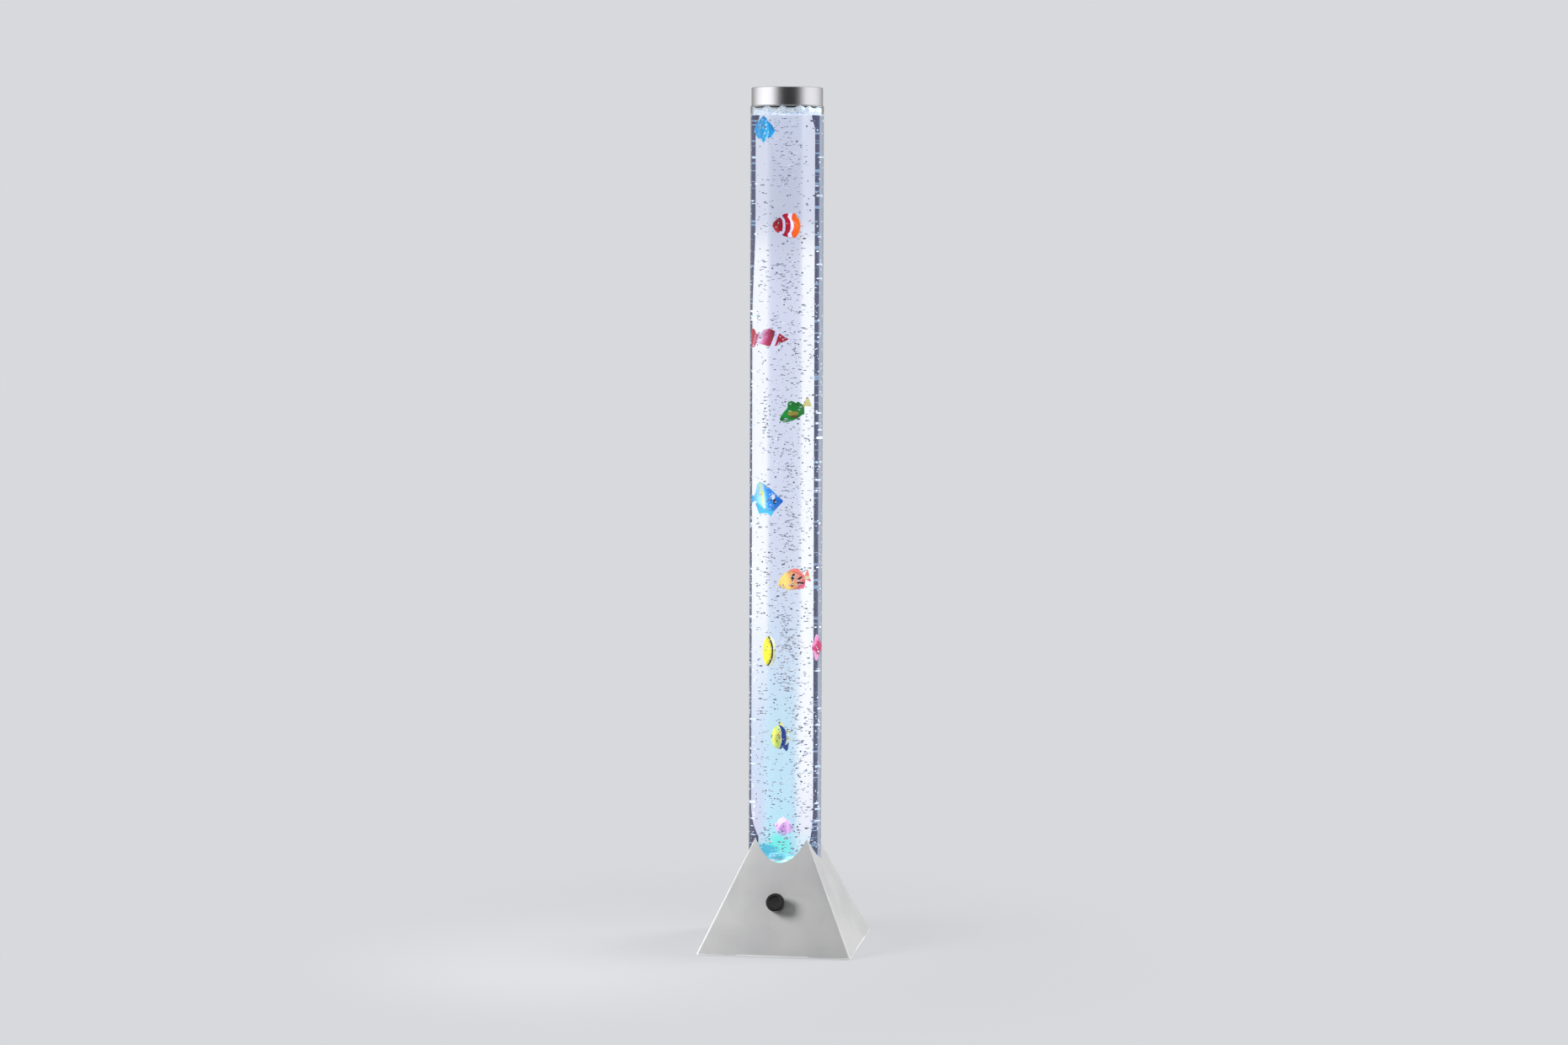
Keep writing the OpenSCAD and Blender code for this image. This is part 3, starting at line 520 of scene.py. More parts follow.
@dataclass(frozen=True)
class Solid:
    """A finish of one colour with cloudy tones and a grain."""

    name: str
    dark: Colour
    light: Colour
    rough: tuple[float, float] = (0.4, 0.5)
    metal: float = 0.0
    cloud: float = 40.0
    stretch: Triple = (2000.0, 2000.0, 2000.0)
    depth: float = 0.1
    coat: float = 0.0
    glow: float = 0.0
    run: bool = False
    # edge: a painted highlight, laid over the colour where the mesh marks its rounded corners and bottom rim
    edge: Colour | None = None

    def material(self) -> bpy.types.Material:
        """Gives the finish's material.

        Returns:
            The material.
        """
        made, w = new_material(self.name)
        where = w.place()
        if self.run:
            x, y, _ = w.axes(where)
            where = w.value("CombineXYZ", {0: x, 1: y, 2: w.attribute("run")})
        colour = w.effect("cloud", {"Dark": self.dark, "Light": self.light, "Scale": self.cloud})["Color"]
        grain = w.effect("grain", {"Vector": where, "Stretch": self.stretch, "Depth": self.depth})
        inputs = {"Roughness": grain["Mask"].step(0.3, 0.7, *self.rough), "Normal": grain["Normal"],
                  "Metallic": self.metal, "Coat Weight": self.coat}
        if self.glow:
            inputs |= {"Emission Color": colour, "Emission Strength": self.glow}
        # painted highlight: the edge colour over the rounded corners and the bottom rim
        if self.edge:
            colour = w.mix(w.attribute("arris").step(0.972, 0.99), colour, self.edge)
        w.finish(inputs | {"Base Color": colour})
        return made


@dataclass(frozen=True)
class ClearSolid:
    """A clear solid that bends light and lets lamps light what is behind it."""

    name: str
    tint: Colour
    index: float = 1.49
    mirror: float = 0.5
    # glow: an emission colour, which is painted light: the lamp's light passing through the solid
    glow: Colour | None = None

    def material(self) -> bpy.types.Material:
        """Gives the finish's material.

        Returns:
            The material.
        """
        made, w = new_material(self.name)
        glow = {"Emission Color": self.glow, "Emission Strength": 1.0} if self.glow else {}
        w.finish(clear_inputs(self.tint, self.index, self.mirror) | glow, clear=self.tint)
        return made


@dataclass(frozen=True)
class LightPool:
    """A painted pool of the lamp's light low in the water: an oval whose edge fades between two values of u^2
    + v^2.
    """

    colour: Colour
    side: float
    z: float
    wide: float
    tall: float
    fade: tuple[float, float]


@dataclass(frozen=True)
class LitWater:
    """Water whose glow is painted light: an emission that stands for the lamp's light sent up through it.

    The glow is on the water's far side as seen from inside, so that fish and bubbles stand before it. Across
    the column it is lilac grey in the middle, white at its sides and dark blue with pale dashes near the
    edge, where the column shows only what is far to its side. The white sides are painted highlights, and
    the dark strip, its dashes and the two edge lines are painted refraction. It turns to blue green near the
    light.

    band, strip, core and line are where the white, the dark strip and the two edges start and are full, as
    shares of the widest ray that the water shows, whose sine is bend. Below the height foot the bright part
    narrows to an ellipse. Each bubble gets painted shading: dark at its rim and pale in its middle, and pale
    all over where the ray that shows it passes farther from the axis than about four fifths of widest.
    """

    name: str = "lit_water"
    index: float = 1.333
    mirror: float = 0.15
    radius: float = 0.047
    bend: float = 0.5356
    band: tuple[float, float] = (0.34, 0.53)
    strip: tuple[float, float] = (0.818, 0.835)
    core: tuple[float, float] = (0.94, 0.975)
    line: tuple[float, float] = (0.985, 1.0)
    widest: float = 0.0375
    foot: float = 0.192
    foot_tall: float = 0.068
    middle: Stops = ((0.12, "#8cdeee"), (0.15, "#b4ebf7"), (0.2, "#c3e7f7"), (0.3, "#c6e5f3"),
                     (0.4, "#d1e0f3"), (0.55, "#d8dcee"), (0.9, "#d7d9ec"), (1.1, "#c2c6d8"))
    sides: Stops = ((0.12, "#caf0f8"), (0.16, "#f0eef8"), (0.24, "#fdfbfe"), (0.5, "#fefefe"),
                    (0.95, "#faf9fc"), (1.1, "#d8dae9"))
    light_pools: tuple[LightPool, ...] = (LightPool("#6ef4e8", -1.7 / 7, 0.133, 1 / 7, 0.015, (2.6, 0.1)),
                                  LightPool("#40bad6", -0.46, 0.1285, 0.2, 0.008, (1.6, 0.5)))

    @staticmethod
    def cosine(w: Wires, way: Value | None = None) -> Value:
        """Gives the cosine between a ray and a direction, or the surface's own normal where none is given."""
        given = {0: 0.5} if way is None else {0: 0.5, 1: way}
        return w.sum("SUBTRACT", 1.0, w.value("LayerWeight", given, "Facing"))

    def swerve(self, w: Wires, x: Value, y: Value) -> tuple[Value, Value]:
        """Gives how a ray passes the axis, seen from above.

        Args:
            w: The wires of the tree.
            x: The place along X.
            y: The place along Y.

        Returns:
            The sine of the angle between the ray and the radius, and the radius. The sine is the ray's part
            across the radius over its whole part in the plane.
        """
        flat = w.value("CombineXYZ", {0: x, 1: y})
        radial = w.vector("NORMALIZE", flat)
        around = w.vector("CROSS_PRODUCT", radial, (0.0, 0.0, 1.0))
        along, beside = self.cosine(w, radial), self.cosine(w, around)
        whole = w.sum("SQRT", along * along + beside * beside)
        return beside / w.sum("MAXIMUM", whole, 0.001), w.vector("LENGTH", flat, output="Value")

    def narrowing(self, w: Wires, z: Value, left: Value) -> Value:
        """Gives how narrow the bright part is: an ellipse at the foot, and slightly less than 1 at the top.

        Args:
            w: The wires of the tree.
            z: The height.
            left: 1 at the left, where the ellipse is full, and 0 at the right, where it is shallow.

        Returns:
            The share of the full width.
        """
        low = w.sum("SUBTRACT", self.foot, z, clamp=True) / self.foot_tall
        low = w.sum("SQRT", w.sum("SUBTRACT", 1.0, low * low, clamp=True))
        low = w.mix(left, low * 0.35 + 0.65, low)
        return w.sum("MAXIMUM", low, 0.76) * z.step(1.12, 1.143, 1.0, 0.88)

    def bright(self, w: Wires, side: Value, z: Value, across: Value, left: Value) -> Value:
        """Gives the painted glow of the column's bright part, with its painted highlights white at the sides.

        Args:
            w: The wires of the tree.
            side: The place along X as a share of the radius.
            z: The height.
            across: How far to the side the ray looks, as a share of the widest.
            left: 1 at the left and 0 at the right.

        Returns:
            The colour.
        """
        cool = w.mix(z.step(0.15, 0.24), (0.84, 0.78, 0.9), (0.68, 0.77, 0.92))
        cool = w.mix(left * z.step(0.5, 0.25), (1.0, 1.0, 1.0), cool)
        # painted highlights: white bands at the column's sides, where band is high
        sides = w.mix(1.0, w.ramp(z, self.sides), cool, "MULTIPLY")
        band = (side * 0.15 + across).step(*self.band)
        high = w.sum("ADD", band, side.step(-0.12, 0.22, 0.0, 0.3), clamp=True)
        low = w.sum("ABSOLUTE", side + 0.225).step(0.12, 0.35)
        glow = w.mix(w.mix(z.step(0.26, 0.48), low, high), w.ramp(z, self.middle), sides)
        # painted pools of the lamp's light near the column's foot
        for pool in self.light_pools:
            mask = w.oval((side - pool.side) / pool.wide, (z - pool.z) / pool.tall, *pool.fade)
            glow = w.mix(mask, glow, pool.colour)
        return glow

    def material(self) -> bpy.types.Material:
        """Gives the finish's material.

        Returns:
            The material.
        """
        made, w = new_material(self.name)
        x, y, z = w.axes(w.place())
        side = x / self.radius
        left = side.step(0.05, -0.05)
        sine, far = self.swerve(w, x, y)
        across = sine / self.bend
        edge = side * 0.25 + across + left * z.step(0.86, 1.0, 0.03, 0.11)
        inset = edge / self.narrowing(w, z, left)
        streaks = w.vector("MULTIPLY", w.place(), (45.0, 45.0, 230.0))
        dashes = w.value("TexNoise", {"Vector": streaks, "Scale": 1.0, "Detail": 1.0}).step(0.6, 0.66)
        glow = self.bright(w, side, z, across, left)
        # painted refraction: the dark strip with pale dashes near the edge, and the two edge lines
        for place, ends, colour in ((inset, self.strip, w.mix(dashes, "#00164e", "#80a0c4")),
                                    (edge, self.core, "#9ea8bc"), (across, self.line, "#687284")):
            glow = w.mix(place.step(*ends), glow, colour)
        # painted shading of the bubbles: dark rims, pale middles, and pale where the ray passes far out
        bubble = w.mix(self.cosine(w).step(0.998, 0.984), "#eef2fa", "#1e263e")
        bubble = w.mix((sine * far / self.widest).step(0.8, 0.84), bubble, "#d6e8f8")
        glow = w.mix(w.attribute("hollow"), glow, bubble)
        inside = w.value("NewGeometry", output="Backfacing")
        # the far side lets almost no light through, so the painted glow stands in for the view through the
        # water
        body = w.mix(inside, (0.97, 0.985, 1.0), (0.01, 0.01, 0.012))
        glow = {"Emission Color": w.mix(inside, (0.0, 0.0, 0.0), glow), "Emission Strength": 1.0}
        w.finish(clear_inputs(body, self.index, self.mirror) | glow, clear=(0.95, 0.97, 1.0))
        made.cycles.emission_sampling = "NONE"
        return made


@dataclass(frozen=True)
class Foam:
    """White froth on the water, lit from below."""

    name: str = "froth"

    def material(self) -> bpy.types.Material:
        """Gives the finish's material.

        Returns:
            The material.
        """
        made, w = new_material(self.name)
        cells = w.value("TexVoronoi", {"Vector": w.place(), "Scale": 260.0}, feature="DISTANCE_TO_EDGE")
        mask = cells.step(0.0, 0.25)
        colour = w.mix(mask, "#fafcff", "#bed6ee")
        w.finish({"Base Color": colour, "Emission Color": colour, "Emission Strength": 0.35,
                  "Roughness": 0.25, "Normal": w.bump(0.3, 0.4 * MM, mask)})
        return made


# Tube, water and cap


@dataclass
class Tube:
    """The clear tube, the water in it, the bubbles in the water and the froth on it.

    crowd gives the share of bubbles kept at some heights. humps are the film's arches, as their place and
    half width in degrees and their share of the film's rise.
    """

    outer: float = 50.0 * MM
    inner: float = 47.0 * MM
    low: float = 98.076 * MM
    high: float = 1155.0 * MM
    edge: float = 0.4 * MM
    water_low: float = 119.98 * MM
    water_high: float = 1143.4 * MM
    wet: float = 0.05 * MM
    steps: int = 256
    free_bubbles: int = 2350
    wall_bubbles: int = 1250
    free_size: tuple[float, float] = (0.9 * MM, 2.3 * MM)
    wall_size: tuple[float, float] = (0.6 * MM, 1.6 * MM)
    stray: float = 17.0 * MM
    crowd: Pairs = ((0.12, 0.6), (0.2, 1.0), (0.7, 0.95), (0.95, 0.75),
                                              (1.05, 0.58), (1.14, 0.4))
    domes: int = 90
    dome_high: float = 5.5 * MM
    film_level: float = 1150.4 * MM
    film_rise: float = 3.4 * MM
    humps: tuple[Triple, ...] = ((-116, 9, 1.0), (-89, 8, 0.9), (-60, 11, 1.0), (-44, 9, 0.85),
                                 (-20, 12, 0.7), (12, 10, 1.0), (40, 14, 0.8), (78, 10, 1.0), (104, 12, 0.7),
                                 (140, 9, 0.9), (168, 13, 1.0), (-150, 11, 0.7))
    seed: int = 11

    def build(self) -> list[bpy.types.Object]:
        """Builds the tube, the water and the froth.

        Returns:
            The three objects.
        """
        e = self.edge
        ring = rounded([(self.inner, self.low, 0), (self.outer, self.low, e), (self.outer, self.high, e),
                        (self.inner, self.high, 0)])
        wall = turned_profile(ring, self.steps, wrap=True)
        water = joined([self.column(), self.bubbles()])
        foam = joined([self.froth(), self.film()])
        return [make("tube_wall", wall, "lamp", "clear_acrylic", ["tube"]),
                make("water_body", water, "lamp", "water", ["water_column"], merge=False),
                make("froth", foam, "lamp", "water", [], Shade.SMOOTH)]

    def column(self) -> Surface:
        """Makes the water's skin: a flat floor, a plain side and a top of crossed waves with a raised rim.

        Returns:
            The closed surface, whose top is water_high plus two sines across and a rise near the wall.
        """
        floor, top = [0.002, 0.25, 0.5, 0.75, 1.0], np.linspace(1.0, 0.002, 40)
        share = np.concatenate([floor, [1.0], top])[:, None]
        r = self.inner + self.wet
        points = round_axis(r * share, full_turn(self.steps), self.water_low)
        x, y, z = np.moveaxis(points[len(floor):], 2, 0)
        wave = 0.5 * MM * np.sin(x * 240 + 1) * np.cos(y * 190) + 0.35 * MM * np.sin(y * 330 + x * 120)
        rim = 0.6 * MM * np.exp((share[len(floor):] - 1) * r / (1.2 * MM))
        z[:] = self.water_high - 1.2 * MM + wave + rim
        skin = closed_sheet(points, self.water_low, z[-1].mean())
        skin.values["hollow"] = np.zeros(len(skin.points))
        return skin

    def lanes(self) -> np.ndarray:
        """Gives the boxes that the fish sweep.

        Returns:
            The boxes, as fish by (low, high) by three.
        """
        swept = []
        for joint in frame["joints"]:
            if joint["name"].endswith("_float"):
                low, high = (np.array(v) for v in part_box(joint["child"]))
                down, up = joint["range_m"]
                low[2] += down
                high[2] += up
                swept.append([low - 3 * MM, high + 3 * MM])
        return np.array(swept)

    def bubbles(self) -> Surface:
        """Makes the bubbles as hollows in the water: flattened balls whose faces look inwards.

        Returns:
            The surface of all bubbles: centre + half size x (cos b cos a, cos b sin a, sin b), each turned
            about Z by an angle of its own.
        """
        draw = np.random.default_rng(self.seed)
        count = self.free_bubbles + self.wall_bubbles
        many = 4 * count
        z = draw.uniform(self.water_low + 6 * MM, self.water_high - 5 * MM, many)
        keep = draw.uniform(0, 1, many) < np.interp(z, *zip(*self.crowd))
        on_wall = draw.uniform(0, 1, many) < self.wall_bubbles / count
        wide = np.where(on_wall, draw.uniform(*self.wall_size, many), draw.uniform(*self.free_size, many))
        tall = wide * (draw.uniform(0.38, 0.7, many) + 0.3 * on_wall)
        stray = np.minimum(np.abs(draw.normal(0, self.stray, many)) + 2 * MM, 40 * MM)
        far = np.where(on_wall, self.inner - wide - 0.15 * MM, stray)
        centre = round_axis(far, draw.uniform(0, 2 * np.pi, many), z)
        centre[:, 0] -= 1.5 * MM * ~on_wall
        for low, high in self.lanes():
            keep &= ~np.all((centre > low) & (centre < high), axis=1)
        chosen = np.flatnonzero(keep)[:count]
        up = np.linspace(-np.pi / 2, np.pi / 2, 6)[1:-1, None]
        ball = closed_sheet(round_axis(np.cos(up), full_turn(6), np.sin(up)), -1, 1).flipped()
        x, y, level = ball.points.T
        turn = draw.uniform(0, 2 * np.pi, many)[chosen, None]
        size = np.stack([wide, wide, tall], axis=1)[chosen, None]
        points = centre[chosen, None] + size * round_axis(np.hypot(x, y), np.arctan2(y, x) + turn, level)
        start = (np.arange(len(chosen)) * len(ball.points))[:, None, None]
        return Surface(points.reshape(-1, 3), (ball.quads + start).reshape(-1, 4),
                       (ball.tris + start).reshape(-1, 3), {"hollow": np.ones(points.size // 3)})

    def froth(self) -> Surface:
        """Makes the froth: its top is the upper envelope of many low domes, and its floor is flat.

        Returns:
            The closed surface.
        """
        draw = np.random.default_rng(self.seed + 1)
        far = (self.inner - 4 * MM) * np.sqrt(draw.uniform(0.25, 1, self.domes))
        dome = round_axis(far, draw.uniform(0, 2 * np.pi, self.domes), 0.0)
        size = draw.uniform(3, 9, self.domes) * MM
        height = draw.uniform(0.5, 1, self.domes) * self.dome_high
        top = np.concatenate([[0.02], np.linspace(0.1, 1, 40)])
        share = np.concatenate([top, [1.0], np.linspace(1, 0.02, 6)])[:, None]
        points = round_axis(share * (self.inner - 0.5 * MM), full_turn(180), 0.0)
        near = ((points[:, :, None] - dome) ** 2).sum(3) / size ** 2
        rise = (np.sqrt(np.clip(1 - near, 0, 1)) * height).max(axis=2)
        points[..., 2] = self.water_high + 0.4 * MM + rise
        points[len(top):, :, 2] = self.water_high - 1.6 * MM
        return sheet_of(points[::-1], wrap=True)

    def film(self) -> Surface:
        """Makes the thin film of froth on the tube's wall, whose upper edge is a row of parabolas.

        Returns:
            The closed surface.
        """
        a = full_turn(360)
        place, half, share = np.array(self.humps).T[..., None]
        off = (np.degrees(a) - place + 180) % 360 - 180
        rise = (share * np.clip(1 - (off / half) ** 2, 0, 1)).max(axis=0)
        top = self.film_level + rise * self.film_rise + 0.2 * MM * np.sin(a * 23)
        foot = np.full_like(a, self.water_high)
        r = self.inner - np.array([0.06, 0.2, 0.2, 0.06])[:, None] * MM
        return sheet_of(round_axis(r, a, np.stack([top, top, foot, foot])), wrap=True)


@dataclass
class Cap:
    """The silver cap on the tube."""

    radius: float = 48.8 * MM
    low: float = 1155.0 * MM
    high: float = 1180.0 * MM
    wall: float = 1.5 * MM
    edge: float = 1.4 * MM
    lip: float = 0.4 * MM
    inner_edge: float = 0.3 * MM

    def build(self) -> bpy.types.Object:
        """Builds the cap as one turned cup.

        Returns:
            The object.
        """
        r, i, e, roof = self.radius, self.radius - self.wall, self.inner_edge, self.high - self.wall
        cup = rounded([(0, roof, 0), (i, roof, e), (i, self.low, e), (r, self.low, self.lip),
                       (r, self.high, self.edge), (0, self.high, 0)])
        return make("cap_shell", turned_profile(cup, 256), "cap", "brushed_silver", ["top_cap"])


# Base and knob


@dataclass
class Base:
    """The sheet metal pyramid: straight lines run up its faces until they meet the tube.

    peak is how far above the rim its faces would meet, run is the sheet's thickness along the floor, and cut
    is the radius at which the tube cuts it.
    """

    half: float = 106.0 * MM
    rim: float = 2.0 * MM
    peak: float = 228.0 * MM
    run: float = 1.654 * MM
    cut: float = 50.5 * MM
    corner: float = 2.4 * MM
    inner_corner: float = 1.0 * MM
    # bright_rim is the height of the band along the bottom rim that gets the painted highlight
    bright_rim: float = 1.3 * MM
    rows: int = 30

    def outline(self, half: float, corner: float) -> np.ndarray:
        """Gives a square with rounded corners in the floor's plane, anticlockwise.

        Args:
            half: Half the square's width.
            corner: The corners' radius.

        Returns:
            The points, in the same order and number for every size.
        """
        turn = np.linspace(0, np.pi / 2, 9)
        arc = half - corner + corner * np.stack([np.cos(turn), np.sin(turn)], axis=1)
        t = np.linspace(-1, 1, 42)[1:-1, None]
        quarter = np.concatenate([np.hstack([np.full_like(t, half), t * (half - corner)]), arc])
        step = np.array([[0, 1], [-1, 0]])
        return np.concatenate([quarter @ np.linalg.matrix_power(step, k) for k in range(4)])

    def build(self) -> bpy.types.Object:
        """Builds the shell.

        The outer skin at share k of the way to the peak is (1 - k) times the outline. The inner skin is the
        outer one less the sheet's run. Both end where their distance from the axis is the cut's radius.

        Returns:
            The object.
        """
        rim = self.outline(self.half, self.corner)
        step = rim - self.outline(self.half - self.run, self.inner_corner)
        far = np.linalg.norm(rim, axis=1)
        outer = self.cut / far
        dot, own = (rim * step).sum(1), (step ** 2).sum(1)
        inner = (dot + np.sqrt(dot ** 2 - far ** 2 * (own - self.cut ** 2))) / far ** 2
        t = np.linspace(0, 1, self.rows)[1:-1]
        t = np.concatenate([[0.0, 0.002, 0.01, 0.016], t, [0.998, 1.0]])[:, None]
        outer, inner = 1 - t * (1 - outer), 1 - t[::-1] * (1 - inner)
        plan = np.concatenate([outer[..., None] * rim, inner[..., None] * rim - step])
        z = self.rim + self.peak * (1 - np.concatenate([outer, inner]))
        wide = np.abs(rim)
        # where the silver paint gets its painted highlight: at the rounded corners and along the bottom rim
        arris = np.maximum(wide.min(1) / wide.max(1), z < self.rim + self.bright_rim)
        skin = sheet_of(np.dstack([plan, z]), wrap=True, values={"arris": arris})
        return make("pyramid", skin, "lamp", "silver_paint", ["base_shell"], merge=False)


@dataclass
class Knob:
    """The round knob on the front face.

    profile goes from the middle of its back to the middle of its dished face, as (radius, height, rounding)
    in millimetres.
    """

    profile: tuple[Triple, ...] = ((0, 2.4, 0), (3.1, 2.4, 0), (3.1, 0.8, 0), (11.18, 0.8, 0.3),
                                   (13.0, 17.0, 1.6), (8.6, 17.0, 0.5), (7.9, 15.8, 0.6), (0, 15.6, 0))

    def build(self) -> bpy.types.Object:
        """Builds the knob by turning its profile round the axis of its joint.

        Returns:
            The object.
        """
        joint = next(j for j in frame["joints"] if j["name"] == "knob_turn")
        out, right = -np.array(joint["axis"]), np.array([1.0, 0, 0])
        axes = np.stack([right, np.cross(out, right), out], axis=1)
        local = turned_profile(rounded(self.profile) * MM, 128)
        return make("knob_body", local.turned(axes, np.array(joint["pos_m"])), "knob", "knob_black", ["knob"])


# Fish


class Part(Enum):
    """Which part of a fish a point belongs to."""

    SKIN = 0.0
    SIDE_FIN = 1.0
    EYE = 2.0


@dataclass(frozen=True)
class Mark:
    """An oval of paint on a fish: its place, half sizes and turn in the pattern's own two directions."""

    place: tuple[float, float]
    size: tuple[float, float]
    turn: float
    colour: Colour


@dataclass(frozen=True)
class Paint:
    """The colours of one fish.

    The pattern runs along q = start + along x its share + side x its share + high x slant + high^2 x bow.
    There along goes from the nose at 0 to the tail's end at 1, side from -1 to 1 through the fish, and high
    from its lower edge at -1 to its upper edge at 1.
    """

    stops: Stops
    upper_fin: Colour | None = None
    lower_fin: Colour | None = None
    edge: Colour | None = None
    # pale dots that are painted highlights: small glints on the skin
    glint_dots: Colour | None = None
    marks: tuple[Mark, ...] = ()
    start: float = 0.0
    along: float = 1.0
    side: float = 0.0
    slant: float = 0.0
    bow: float = 0.0
    ragged: float = 0.02
    eye: Stops = ((0.0, (0.004, 0.004, 0.006)), (0.55, (0.004, 0.004, 0.006)), (0.62, (0.7, 0.7, 0.66)),
                  (0.88, (0.7, 0.7, 0.66)), (0.94, (0.02, 0.02, 0.03)))

    def material(self, name: str) -> bpy.types.Material:
        """Gives the fish's painted material.

        Args:
            name: The material's name.

        Returns:
            The material.
        """
        made, w = new_material(name)
        along, side, high, part, out, fin = map(w.attribute, ("along", "side", "high", "part", "out", "fin"))
        noise = w.value("TexNoise", {"Vector": w.place(), "Scale": 320.0, "Detail": 3.0})
        q = along * self.along + self.start + side * self.side
        bent = q + (noise - 0.5) * (self.ragged * 2) + high * self.slant + high * high * self.bow
        colour = w.ramp(bent, self.stops)
        for shown, low, top in ((self.upper_fin, 0.1, 0.2), (self.lower_fin, -0.1, -0.2)):
            if shown:
                colour = w.mix(high.step(low, top) * along.step(0.22, 0.34) * fin, colour, shown)
        # painted highlights: small pale glints laid over the skin's colour
        if self.glint_dots:
            dots = w.value("TexVoronoi", {"Vector": w.place(), "Scale": 240.0})
            colour = w.mix(dots.step(0.42, 0.3), colour, self.glint_dots)
        for mark in self.marks:
            across, up = q - mark.place[0], (high - mark.place[1]) * 0.45
            c, s = math.cos(mark.turn), math.sin(mark.turn)
            u, v = (across * c + up * s) / mark.size[0], (up * c - across * s) / mark.size[1]
            colour = w.mix(w.oval(u, v, 1.15, 0.8), colour, mark.colour)
        if self.edge:
            colour = w.mix(out.step(0.9, 0.97), colour, self.edge)
        fins = w.mix(noise.step(0.4, 0.6), self.stops[-1][1], self.edge or self.stops[0][1])
        for kind, shown in ((Part.SIDE_FIN, fins), (Part.EYE, w.ramp(out, self.eye))):
            colour = w.mix(w.sum("COMPARE", part, kind.value, 0.3), colour, shown)
        scales = w.value("TexVoronoi", {"Vector": w.place(), "Scale": 420.0})
        w.finish({"Base Color": colour, "Normal": w.bump(0.2, 0.25 * MM, scales),
                  "Roughness": noise.step(0.3, 0.7, 0.35, 0.5), "Specular IOR Level": 0.1})
        return made


